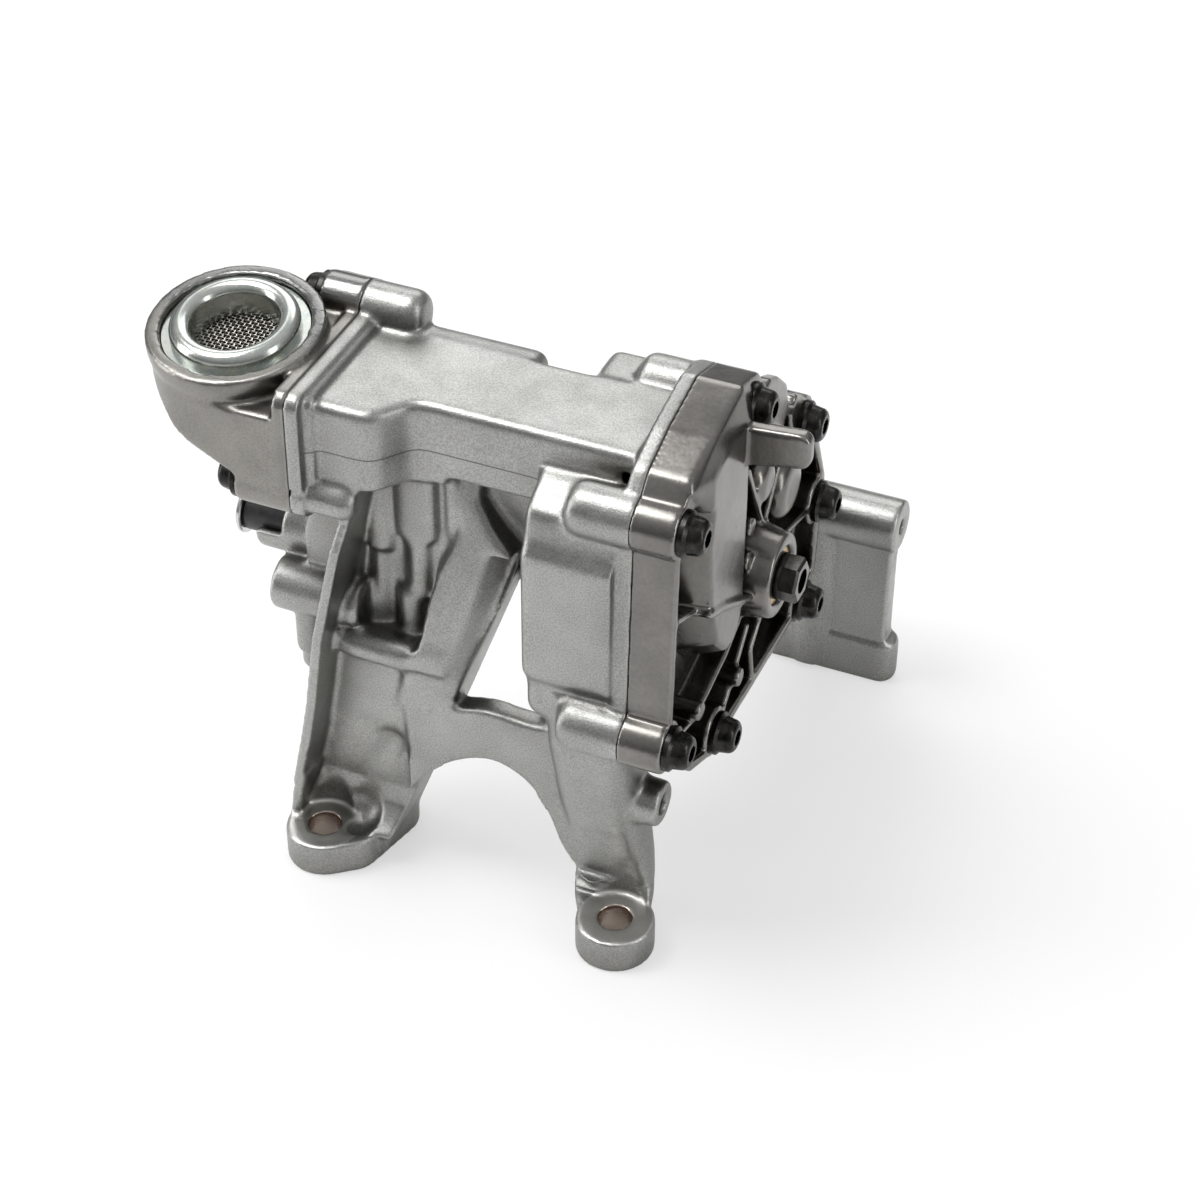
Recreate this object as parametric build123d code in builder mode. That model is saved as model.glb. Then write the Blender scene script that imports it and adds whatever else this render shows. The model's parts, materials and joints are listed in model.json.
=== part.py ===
from build123d import *
import os
from math import cos, pi, radians, sin

os.makedirs("parts", exist_ok=True)

# Engine oil pump with a suction duct and strainer, in millimetres, +Z up.
# It stands on its three mounting feet. The drive shaft runs along +X, and the
# origin is the centre of the shaft's hexagonal end face.

# Clearances
press_gap = 0.02
running_gap = 0.05
side_gap = 0.06
tooth_gap = 0.10
screw_gap = 0.2
joint_gap = 0.02

# Places along the drive shaft
boss_face_x = -6.3
cover_front_x = -15.1
cover_depth = 13.4
joint_x = cover_front_x - cover_depth
pump_back_x = -62.0

# Rotor set: a ring of round lobes runs round a rotor with one tooth less
inner_teeth = 6
outer_teeth = inner_teeth + 1
rotor_offset = 3.6
lobe_circle = 31.0
lobe_radius = 9.0
ring_radius = 36.0
rotor_width = 20.0
root_gap = 0.25

# Drive shaft
rotor_seat_radius = 8.0
front_journal_radius = 7.5
rear_journal_radius = 7.0
collar_radius = 7.4
hex_flats = 12.6
hex_length = 5.4
hex_chamfer = 0.8
shaft_bore_radius = 3.9
shaft_bore_depth = 15.0
bush_wall = 1.5
key_width = 4.0
key_height = 4.0
key_length = 14.0

# Cover
cover_floor = 5.0
rim_wall = 3.6
rib_width = 2.2
screw_boss_radius = 8.3
plate_corner_radius = 5.0
shaft_boss_radius = 13.3
shaft_boss_root = 17.0
collar_recess_radius = 9.4
collar_recess_depth = 1.4
hump_wall = 3.0
arm_thickness = 5.2
arm_length = 22.5
tab_thickness = 4.5

# The cover's screws, as (y, z)
cover_screw_spots = [
    (-61.7, 56.8), (-9.5, 66.6), (39.1, 29.3), (58.3, -14.0),
    (46.3, -45.7), (-29.4, -41.9), (-69.0, -16.1),
]
# Corners of the plate that the cover and the housing share, as (y, z)
plate_corners = [
    (-70.0, -18.0), (-66.5, 52.0), (-65.0, 61.5), (-56.5, 70.5), (-41.5, 75.5), (-20.0, 79.5),
    (-4.0, 74.5), (5.0, 60.0), (30.0, 41.0), (46.5, 34.5), (65.5, -8.0), (61.0, -44.0), (46.0, -50.5),
    (-34.0, -48.5), (-50.0, -41.5),
]

# Flanged screws
screw_radius = 3.0
screw_flange_radius = 6.9
screw_flange = 1.5
screw_head_radius = 5.4
screw_head = 7.0
socket_radius = 2.9
socket_depth = 3.4
screw_grip = 14.0

# Suction duct
duct_top_z = 70.4
duct_front_y = -64.0
duct_narrow_front_y = -51.8
duct_back_y = -18.0
duct_bottom_z = 42.4
duct_narrow_bottom_z = 45.4
parting_z = 54.4
parting_step = 0.5
duct_wall = 4.0
shoulder_x = -110.6
shoulder_length = 9.0
left_flange_x = -134.6
left_flange = 4.2
flange_front_y = -70.0
flange_back_y = -15.0
flange_top_z = 74.0
flange_bottom_z = 39.0
flange_boss_radius = 7.5
flange_boss_length = 19.0
flange_step = 2.4

# Pickup
ring_x = -163.0
ring_outer_radius = 26.6
ring_rim_radius = 22.4
ring_rise = 4.2
ring_band = 12.0
rim_recess = 3.4
pickup_throat_radius = 17.0
sleeve_radius = 21.9
sleeve_sheet = 1.2
sleeve_bore_radius = 12.9
lip_outer_radius = 19.4
lip_height = 2.8
screen_depth = 8.0
screen_thickness = 0.8
screen_pitch = 2.4
screen_count = 11
screen_wire = 0.6
screen_ring_radius = 15.5
seal_depth = 1.6
seal_wall = 2.0

# Pump body and flanges
joint_flange = 5.0
body_step = 1.6
body_side_y = -71.0
side_boss_length = 16.0
side_top_z = 54.0
side_ledge_high_z = 41.0
side_ledge_low_z = -2.0
side_bottom_z = -13.0

# Feet
pad_top_z = -94.1
pad_thickness = 12.0
ground_z = pad_top_z - pad_thickness
pad_radius = 12.4
foot_bore_radius = 5.25
spot_face_radius = 11.2
spot_face_height = 16.0
front_foot = (-32.6, -66.1)
left_foot = (-134.3, -63.4)
left_heel = (-123.0, -42.0)
left_instep = (-126.5, -61.0)
heel_radius = 10.5
instep_radius = 9.5

# Legs
web_front_y = -57.0
web_thickness = 8.5
fin_thickness = 3.4
fin_front_y = -69.0
shelf_z = -17.0
shelf_front_y = -60.0
pocket_back_y = -47.0
left_leg_back_y = -34.0

# Threaded side boss on the front leg
side_hole_y = -53.3
side_hole_z = -54.3
side_hole_face_x = -22.0
side_hole_radius = 3.4
side_hole_depth = 14.0
side_hole_boss = 7.5

# Rear bracket
bracket_y = 91.0
bracket_thickness = 9.0
bracket_tube_radius = 9.0
bracket_tube_z = -41.5
bracket_end_x = 4.6
bracket_web_end_x = 2.8
bracket_bar_height = 17.0
bracket_bar_depth = 12.0
tube_centre_radius = 2.6
tube_centre_depth = 3.0
delivery_radius = 5.0
dowel_radius = 4.0
dowel_length = 12.0
dowel_x = -24.0

# Relief valve
valve_y = -36.0
valve_z = 3.2
valve_mouth_x = -152.5
valve_barrel_radius = 10.6
valve_bore_radius = 6.5
valve_end_x = -100.0
piston_length = 17.0
piston_wall = 1.6
spring_wire = 0.75
spring_turns = 8
gallery_bore_radius = 5.5
gallery_bore_depth = 22.0
cap_radius = 8.4
cap_thickness = 1.6
cap_face_x = -169.1
collar_outer_radius = 6.9
plug_stem_radius = 4.0


def plate_sketch(grow=0.0):
    """The rounded plate without its screw bosses."""
    with BuildSketch() as sketch:
        with BuildLine():
            Polyline(*plate_corners, close=True)
        make_face()
        fillet(sketch.vertices(), plate_corner_radius)
        if grow:
            offset(amount=grow)
    return sketch.sketch


def joint_sketch():
    """The plate with a round boss at each screw."""
    with BuildSketch() as sketch:
        add(plate_sketch())
        with Locations(*cover_screw_spots):
            Circle(screw_boss_radius)
    return sketch.sketch


def rotor_face(radius_change):
    """The inner rotor's outline: the path of a lobe's centre, moved in by the lobe's radius."""
    count = inner_teeth * 12
    points = []
    for step in range(count):
        turn = 2 * pi * step / count
        along = lobe_circle + outer_teeth * rotor_offset * cos(inner_teeth * turn)
        across = outer_teeth * rotor_offset * sin(inner_teeth * turn)
        size = (along * along + across * across) ** 0.5
        inward = (lobe_radius + radius_change) / size
        path_x = lobe_circle * cos(turn) + rotor_offset * cos(outer_teeth * turn)
        path_y = lobe_circle * sin(turn) + rotor_offset * sin(outer_teeth * turn)
        normal_x = along * cos(turn) - across * sin(turn)
        normal_y = along * sin(turn) + across * cos(turn)
        points.append((path_x - inward * normal_x, path_y - inward * normal_y))
    with BuildSketch() as sketch:
        with BuildLine():
            Spline(*points, periodic=True)
        make_face()
    return sketch.sketch


def screw_solid(length):
    """A flanged screw whose seat is at the origin and whose head points along +Z."""
    with BuildPart() as screw:
        with BuildSketch(Plane.XZ):
            with BuildLine():
                Polyline(
                    (0, -length), (screw_radius - 0.6, -length), (screw_radius, -length + 0.8),
                    (screw_radius, 0), (screw_flange_radius, 0), (screw_flange_radius, screw_flange),
                    (screw_head_radius + 0.4, screw_flange + 0.9), (screw_head_radius, screw_head - 2.2),
                )
                ThreePointArc(
                    (screw_head_radius, screw_head - 2.2),
                    (screw_head_radius - 0.5, screw_head - 0.8),
                    (screw_head_radius - 1.7, screw_head),
                )
                Line((screw_head_radius - 1.7, screw_head), (0, screw_head))
                Line((0, screw_head), (0, -length))
            make_face()
        revolve(axis=Axis.Z)
        with BuildSketch(Plane.XY.offset(screw_head)):
            RegularPolygon(socket_radius, 6)
            with PolarLocations(socket_radius, 6):
                Circle(0.55, mode=Mode.SUBTRACT)
        extrude(amount=-socket_depth, mode=Mode.SUBTRACT)
    return screw.part


# Planes of the rotor set: local x runs from the shaft towards the outer ring's own centre
rotor_back_x = joint_x - rotor_width - 2 * side_gap
rotor_plane = Plane(origin=(rotor_back_x + side_gap, 0, 0), x_dir=(0, 0, -1), z_dir=(1, 0, 0))

# Pump body: the block behind the joint flange
with BuildPart() as pump_body:
    with BuildSketch(Plane.YZ.offset(joint_x - joint_gap)):
        add(joint_sketch())
    extrude(amount=-joint_flange)
    with BuildSketch(Plane.YZ.offset(pump_back_x)):
        add(plate_sketch(-body_step))
        with BuildLine():
            Polyline((-90.0, side_top_z - 6), (duct_narrow_front_y + 1, side_top_z - 6),
                     (duct_narrow_front_y + 1, duct_top_z - 1), (90.0, duct_top_z - 1), (90.0, 120.0),
                     (-90.0, 120.0), close=True)
        make_face(mode=Mode.SUBTRACT)
    extrude(amount=joint_x - joint_flange - pump_back_x)
    fillet(pump_body.faces().sort_by(Axis.X)[0].edges(), 4)

# The body's bulging left side, with the ledges that run along it
with BuildPart() as side_wall:
    with BuildSketch(Plane.YZ.offset(pump_back_x)):
        with BuildLine():
            Polyline(
                (body_side_y + 16, side_top_z + 6), (body_side_y + 5, side_top_z),
                (body_side_y + 2.6, side_ledge_high_z + 4), (body_side_y, side_ledge_high_z),
                (body_side_y, side_ledge_low_z), (body_side_y + 2.2, side_ledge_low_z - 3),
                (body_side_y + 5.5, side_bottom_z), (body_side_y + 22, side_bottom_z),
                (body_side_y + 22, side_top_z + 6), close=True,
            )
        make_face()
    extrude(amount=joint_x - joint_flange - pump_back_x)
    back_edges = side_wall.faces().sort_by(Axis.X)[0].edges().filter_by_position(
        Axis.Y, body_side_y - 1, body_side_y + 6)
    fillet(back_edges, 2.5)

# Long round bosses that carry the cover's screws
with BuildPart() as screw_bosses:
    with BuildSketch(Plane.YZ.offset(joint_x - joint_flange - side_boss_length)):
        with Locations(*cover_screw_spots):
            Circle(screw_boss_radius)
    extrude(amount=side_boss_length)
    fillet(screw_bosses.edges().group_by(Axis.X)[0], 4)

# Suction duct: upper shell, then the smaller lower shell below the parting line
duct_end_x = joint_x - joint_flange
duct_start_x = left_flange_x + left_flange / 2


def duct_plan(inset, right_x=duct_end_x, corner=7.0):
    """Plan of the duct: wide at its left end, narrower past the shoulder."""
    with BuildSketch() as sketch:
        with BuildLine():
            Polyline(
                (duct_start_x, duct_front_y + inset), (shoulder_x - inset, duct_front_y + inset),
                (shoulder_x + shoulder_length - inset, duct_narrow_front_y + inset),
                (right_x, duct_narrow_front_y + inset), (right_x, duct_back_y - inset),
                (duct_start_x, duct_back_y - inset), close=True,
            )
        make_face()
        corners = sketch.vertices()
        fillet(corners.filter_by_position(Axis.X, shoulder_x - 2, shoulder_x + shoulder_length + 1), corner)
    return sketch.sketch


with BuildPart() as duct:
    with BuildSketch(Plane.XY.offset(parting_z)):
        add(duct_plan(0))
    extrude(amount=duct_top_z - parting_z)
    fillet(duct.faces().sort_by(Axis.Z)[-1].edges().filter_by_position(Axis.Y, -70, -45), 2.5)

with BuildPart() as duct_belly:
    with BuildSketch(Plane.XY.offset(duct_narrow_bottom_z)):
        add(duct_plan(parting_step))
    extrude(amount=parting_z - duct_narrow_bottom_z)
    with BuildSketch(Plane.XY.offset(duct_bottom_z)):
        add(duct_plan(parting_step, shoulder_x + shoulder_length + 8))
    extrude(amount=parting_z - duct_bottom_z)

# Left flange of the duct, with three lobes for the pickup's screws
pickup_screw_spots = [(-62.5, 37.5), (-14.0, 73.0), (-17.0, 38.0)]
pickup_boss_lengths = [18.5, 13.5, 12.0]
flange_boss_radii = [5.8, flange_boss_radius, flange_boss_radius]


def flange_sketch():
    """The outline that the duct's left flange and the pickup's flange share."""
    with BuildSketch() as sketch:
        with Locations(((flange_front_y + flange_back_y) / 2, (flange_top_z + flange_bottom_z) / 2)):
            RectangleRounded(flange_back_y - flange_front_y, flange_top_z - flange_bottom_z, 5)
        with Locations(*pickup_screw_spots):
            Circle(flange_boss_radius)
    return sketch.sketch


def mouth_sketch(grow):
    """The duct's mouth, grown outwards by the given amount."""
    with BuildSketch() as sketch:
        with Locations(((duct_front_y + duct_back_y) / 2, (duct_top_z + duct_bottom_z) / 2)):
            RectangleRounded(
                duct_back_y - duct_front_y - 2 * duct_wall + 2 * grow,
                duct_top_z - duct_bottom_z - 2 * duct_wall + 2 * grow, 5 + grow)
    return sketch.sketch


with BuildPart() as duct_flange:
    with BuildSketch(Plane.YZ.offset(left_flange_x)):
        add(flange_sketch())
    extrude(amount=left_flange)
    with BuildSketch(Plane.YZ.offset(left_flange_x)):
        with Locations(((duct_front_y + duct_back_y) / 2, (flange_top_z + flange_bottom_z) / 2)):
            RectangleRounded(duct_back_y - duct_front_y + 4, flange_top_z - flange_bottom_z - 3, 4)
    extrude(amount=left_flange + flange_step)

# Round-ended bosses behind the flange, one for each pickup screw
with BuildPart() as flange_bosses:
    for spot, boss_radius in zip(pickup_screw_spots, flange_boss_radii):
        with BuildSketch(Plane.YZ.offset(left_flange_x)):
            with Locations(spot):
                Circle(boss_radius)
        extrude(amount=flange_boss_length)
    fillet(flange_bosses.edges().group_by(Axis.X)[-1], 4.5)

# Low ridge along the duct's far edge
with BuildPart() as duct_ridge:
    with BuildSketch(Plane.YZ.offset(left_flange_x)):
        with Locations((duct_back_y + 3, duct_top_z - 6.5)):
            Circle(6)
    extrude(amount=57)
    fillet(duct_ridge.edges().group_by(Axis.X)[-1], 4)

# Left leg: a leaning wall that steps forward at its shelf and leans back above and below it
leg_left_edge = [
    (-147.0, -94.0), (-143.0, -75.0), (-138.3, -58.0), (-135.2, -41.0), (-131.5, -14.0), (-125.5, 13.0),
    (-117.0, 50.0),
]
leg_right_edge = [
    (-84.0, 50.0), (-85.4, 35.7), (-80.5, 28.2), (-73.5, 20.6), (-73.0, 14.0), (-77.0, 3.0),
    (-93.5, -43.0), (-102.0, -66.0), (-109.4, -87.3), (-116.0, ground_z + 1),
]
leg_front_profile = [
    (-42.0, 50.0), (-44.0, 42.0), (-58.5, shelf_z + 4),
    (shelf_front_y, shelf_z), (shelf_front_y, shelf_z - 6),
    (-57.5, shelf_z - 8), (-52.5, -80.0), (-54.5, -87.0), (-62.0, pad_top_z), (-60.0, ground_z + 1),
]
with BuildPart() as left_leg:
    with BuildSketch(Plane.XZ.offset(-left_leg_back_y)):
        with BuildLine():
            Polyline(*leg_left_edge, *leg_right_edge, (-140.0, ground_z + 1), close=True)
        make_face()
    extrude(amount=left_leg_back_y - fin_front_y)
    with BuildSketch(Plane.YZ.offset(-160)):
        with BuildLine():
            Polyline(
                *leg_front_profile, (left_leg_back_y, ground_z + 1), (left_leg_back_y, 50.0), close=True,
            )
        make_face()
    extrude(amount=100, mode=Mode.INTERSECT)

# Pocket of the left leg, deeper above the relief valve
pocket_left_edge = [(-128.5, shelf_z), (-120.5, 48.0)]
pocket_right_edge = [(-89.5, 48.0), (-91.0, 24.0), (-96.9, 11.0), (-99.4, -1.0), (-101.5, shelf_z)]
with BuildPart() as leg_pocket:
    with BuildSketch(Plane.XZ.offset(-fin_front_y)) as pocket_plan:
        with BuildLine():
            Polyline(*pocket_left_edge, *pocket_right_edge, close=True)
        make_face()
        fillet(pocket_plan.vertices().sort_by(Axis.Y)[:2], 3)
    extrude(amount=fin_front_y - pocket_back_y)
    with BuildSketch(Plane.XZ.offset(-fin_front_y)):
        with Locations((-105.0, 34.0)):
            Rectangle(24, 26)
    extrude(amount=fin_front_y - pocket_back_y - 6)

# Flat recess in the leg below the shelf
with BuildPart() as leg_panel:
    with BuildSketch(Plane.XZ.offset(-fin_front_y)) as panel_plan:
        with BuildLine():
            Polyline(
                (-140.0, -76.0), (-130.8, shelf_z - 9), (-106.5, shelf_z - 9),
                (-113.0, -52.0), (-119.0, -62.0), (-122.0, -76.0), close=True,
            )
        make_face()
        fillet(panel_plan.vertices(), 3)
    extrude(amount=fin_front_y + 55)

# Fin that stands proud along the leg's left edge
fin_right_edge = [(x + fin_thickness, z) for x, z in reversed(leg_left_edge)]
with BuildPart() as leg_fin:
    with BuildSketch(Plane.XZ.offset(-left_leg_back_y)):
        with BuildLine():
            Polyline(*leg_left_edge, *fin_right_edge, close=True)
        make_face()
    extrude(amount=left_leg_back_y - fin_front_y)
    with BuildSketch(Plane.YZ.offset(-160)):
        with BuildLine():
            Polyline((-56.0, 50.0), (-66.0, 32.0), (fin_front_y, 22.0), (fin_front_y, -60.0), (-66.0, -76.0),
                     (-62.0, -94.0), (left_leg_back_y, -94.0), (left_leg_back_y, 50.0), close=True)
        make_face()
    extrude(amount=60, mode=Mode.INTERSECT)

# Round columns in the pocket, as (x, y, radius, bottom z, top z)
pocket_columns = [
    (-117.0, -46.0, 5.2, 11.0, 46.0),
    (-94.0, -45.0, 2.6, 18.0, 48.0),
    (-117.8, -46.0, 3.0, shelf_z - 1, 16.0),
    (-104.5, -46.0, 4.2, -4.0, 20.0),
    (-107.5, -46.5, 4.8, shelf_z - 1, -0.5),
    (-123.0, -46.5, 4.5, shelf_z - 1, -6.0),
]
column_chamfer = 1.3


def column(x, y, radius, bottom_z, top_z):
    """A round column with chamfered ends."""
    with BuildPart() as post:
        with BuildSketch(Plane.XY.offset(bottom_z)):
            with Locations((x, y)):
                Circle(radius)
        extrude(amount=top_z - bottom_z)
        chamfer(post.edges().filter_by(GeomType.CIRCLE), column_chamfer)
    return post.part


with BuildPart() as pocket_posts:
    for place in pocket_columns:
        add(column(*place))

# Block that carries the spill passage up to the duct, with a pointed lower end
spill_x = -105.0
spill_radius = 3.5
with BuildPart() as spill_column:
    with BuildSketch(Plane.XZ.offset(50)):
        with BuildLine():
            Polyline(
                (-111.0, 48.0), (-111.0, 19.0), (-104.5, 14.0), (-98.0, 20.0), (-98.0, 48.0), close=True,
            )
        make_face()
    extrude(amount=-left_leg_back_y - 50)
    fillet(spill_column.edges().filter_by(Axis.Z), 1.5)

# Left foot: a round pad with a heel that runs back under the leg
with BuildPart() as left_pad:
    with BuildSketch(Plane.XY.offset(ground_z)):
        with Locations(left_foot):
            Circle(pad_radius)
        with Locations(left_heel):
            Circle(heel_radius)
        with Locations(left_instep):
            Circle(instep_radius)
        make_hull()
    extrude(amount=pad_thickness)
    fillet(left_pad.faces().sort_by(Axis.Z)[0].edges(), 1.2)

# Tool's way past the left leg: a leaning gouge beside the foot's spot face
gouge_top = (-112.5, -61.0, -52.0)
gouge_bottom = (-121.5, -59.5, pad_top_z + 1.5)
gouge_radius = 6.8
gouge_line = Vector(*gouge_bottom) - Vector(*gouge_top)
with BuildPart() as leg_gouge:
    with BuildSketch(Plane(origin=gouge_top, x_dir=(0, 1, 0), z_dir=gouge_line)):
        Circle(gouge_radius)
    extrude(amount=gouge_line.length)

# Front leg: sections as (z, x, y, width, depth, corner radius), leaning back above the foot
front_leg_sections = [
    (ground_z + 2, -36.5, -58.0, 22.0, 18.0, 8.8), (pad_top_z, -37.5, -55.5, 25.0, 20.0, 9.5),
    (-88.0, -38.8, -51.5, 26.0, 14.0, 6.8), (-80.0, -39.8, -50.5, 26.4, 15.0, 7.0),
    (-66.0, -41.0, -52.0, 26.4, 17.0, 7.0), (-50.0, -42.2, -54.5, 26.2, 20.0, 7.0),
    (-30.0, -42.8, -58.5, 25.4, 22.0, 6.0), (-8.0, -43.3, -59.0, 25.0, 21.0, 5.0),
]
with BuildPart() as front_leg:
    for z, x, y, width, depth, corner in front_leg_sections:
        with BuildSketch(Plane.XY.offset(z)):
            with Locations((x, y)):
                RectangleRounded(width, depth, corner)
    loft(ruled=True)

with BuildPart() as front_pad:
    with BuildSketch(Plane.XY.offset(ground_z)):
        with Locations(front_foot):
            Circle(pad_radius)
    extrude(amount=pad_thickness)
    fillet(front_pad.faces().sort_by(Axis.Z)[0].edges(), 1.2)

# Web between the legs, a thin wall with an arch below and a round notch above
with BuildPart() as leg_web:
    with BuildSketch(Plane.XZ.offset(-web_front_y)) as web_plan:
        with BuildLine():
            top = Spline((-98.0, -40.0), (-89.0, -36.5), (-81.0, -34.4), (-70.0, -34.7), (-60.5, -34.7))
            notch = ThreePointArc(top @ 1, (-55.6, -29.7), (-60.5, -21.2))
            Line(notch @ 1, (-47.0, -21.2))
            Line((-47.0, -21.2), (-47.0, -88.0))
            Line((-47.0, -88.0), (-52.5, -88.0))
            arch = Spline(
                (-52.5, -88.0), (-57.0, -76.0), (-65.0, -60.2), (-76.0, -54.2), (-88.0, -57.2),
                (-107.0, -77.0),
            )
            Line(arch @ 1, (-107.0, -40.0))
            Line((-107.0, -40.0), top @ 0)
        make_face()
    extrude(amount=-web_thickness)

# Bridge wall under the duct, from the left leg to the pump body
with BuildPart() as bridge_wall:
    with BuildSketch(Plane.XZ.offset(24)):
        with BuildLine():
            Polyline((-98.0, 50.0), (-60.0, 50.0), (-60.0, 4.0), (-70.0, 8.0), (-80.0, 4.0), (-98.0, -14.0),
                     close=True)
        make_face()
    extrude(amount=16)

# Threaded side boss
with BuildPart() as hole_boss:
    with BuildSketch(Plane.YZ.offset(side_hole_face_x)):
        with Locations((side_hole_y, side_hole_z)):
            Circle(side_hole_boss)
    extrude(amount=-side_hole_depth)
    fillet(hole_boss.edges().group_by(Axis.X)[-1], 0.8)

# Relief valve barrel, the round gallery boss and the stepped boss below it
gallery_y = -50.0
gallery_z = -10.0
gallery_radius = 8.7
gallery_face_x = -151.0
step_boss_x = -140.0
with BuildPart() as valve_barrel:
    with BuildSketch(Plane.YZ.offset(valve_mouth_x)):
        with Locations((valve_y, valve_z)):
            Circle(valve_barrel_radius)
    extrude(amount=valve_end_x - valve_mouth_x + 5)
    with BuildSketch(Plane.YZ.offset(gallery_face_x)):
        with Locations((gallery_y, gallery_z)):
            Circle(gallery_radius)
    extrude(amount=30)
    with BuildSketch(Plane.XY.offset(gallery_z - 22)):
        with Locations((step_boss_x, gallery_y)):
            Circle(6.2)
    extrude(amount=22)
    with BuildSketch(Plane.XY.offset(gallery_z - 29)):
        with Locations((step_boss_x, gallery_y)):
            Circle(4.8)
    extrude(amount=8)

# Rear bracket: an upper tube, a wall and a foot bar that stands on the ground
delivery_spot = (-50.0, bracket_y)
with BuildPart() as bracket_bar:
    with BuildSketch(Plane.XY.offset(ground_z)):
        with Locations(((pump_back_x + bracket_end_x + 2) / 2, bracket_y)):
            RectangleRounded(bracket_end_x + 2 - pump_back_x, bracket_bar_depth, bracket_bar_depth / 2 - 0.4)
    extrude(amount=bracket_bar_height)
    fillet(bracket_bar.faces().filter_by(Axis.Z).edges(), 2.2)

with BuildPart() as bracket_tube:
    with BuildSketch(Plane.YZ.offset(pump_back_x)):
        with Locations((bracket_y, bracket_tube_z)):
            Circle(bracket_tube_radius)
    extrude(amount=bracket_end_x - pump_back_x)
    chamfer(bracket_tube.edges().group_by(Axis.X)[-1], 0.8)

with BuildPart() as bracket_wall:
    with BuildSketch(Plane.XZ.offset(-bracket_y - bracket_thickness / 2)):
        with Locations(((pump_back_x + bracket_web_end_x) / 2, (bracket_tube_z + ground_z) / 2 + 2)):
            RectangleRounded(bracket_web_end_x - pump_back_x, bracket_tube_z - ground_z - 6, 4)
    extrude(amount=bracket_thickness)
    with BuildSketch(Plane.XY.offset(ground_z + 2)):
        with Locations(delivery_spot, (dowel_x, bracket_y)):
            Circle(delivery_radius + 3.5)
    extrude(amount=bracket_tube_z - ground_z - 2)

# Arm that carries the bracket on the pump body
with BuildPart() as bracket_arm:
    with BuildSketch(Plane.XY.offset(-46)):
        with Locations(((pump_back_x + duct_end_x) / 2, (bracket_y + 48) / 2)):
            Rectangle(duct_end_x - pump_back_x, bracket_y - 48)
    extrude(amount=22)

# Wall between the duct's left end and the relief valve
with BuildPart() as valve_wall:
    with BuildSketch(Plane.XZ.offset(50)):
        with BuildLine():
            Polyline((-118.0, 46.0), (-131.0, 46.0), (-136.0, 30.0), (-142.0, 12.0), (-142.0, -16.0),
                     (-126.0, -16.0), close=True)
        make_face()
    extrude(amount=-20)

# Seat tab below the relief valve's collar
with BuildPart() as seat_tab:
    with BuildSketch(Plane.YZ.offset(valve_mouth_x)):
        with Locations((valve_y, valve_z)):
            Circle(valve_barrel_radius)
            Circle(collar_outer_radius + 0.4, mode=Mode.SUBTRACT)
        with Locations((valve_y, valve_z + 10)):
            Rectangle(40, 20, mode=Mode.SUBTRACT)
    extrude(amount=-9)


def port_sketch(side):
    """A kidney-shaped port beside the shaft, on the side given by the sign."""
    with BuildSketch() as sketch:
        with Locations((0, -rotor_offset / 2)):
            Circle(port_outer)
            Circle(port_inner, mode=Mode.SUBTRACT)
        with Locations((side * 40, 0)):
            Rectangle(80 - 2 * port_land, 4 * port_outer, mode=Mode.INTERSECT)
    return sketch.sketch


# Ports and passages
port_outer = 28.5
port_inner = 19.5
port_land = 7.0
port_depth = 5.0
suction_depth = 10.0
delivery_bore_x = -54.5
delivery_start_y = 24.0
feed_y = valve_y + 2
feed_z = valve_z + 2.5
feed_radius = 3.0
tapped_depth = screw_grip + 3
sleeve_depth = 6.0
dowel_sleeve_outer = 4.3
dowel_sleeve_inner = 3.3
rear_bore_end_x = -60.0
rear_journal_end_x = -59.5
dowelled = [cover_screw_spots[0], cover_screw_spots[3]]


def suction_sketch(inset):
    """Outline of the suction gallery in the joint face, from the duct's mouth to the port."""
    with BuildSketch() as sketch:
        with BuildLine():
            Polyline(
                (-52.0 + inset, 64.5 - inset), (-22.0 - inset, 66.4 - inset), (-22.0 - inset, 34.0),
                (-30.0 - inset, 20.0), (-27.0 - inset, -6.0 + inset), (-38.0 + inset, -2.0 + inset),
                (-40.0 + inset, 26.0), (-48.0 + inset, 48.0), close=True,
            )
        make_face()
        fillet(sketch.vertices(), 2)
    return sketch.sketch


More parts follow.
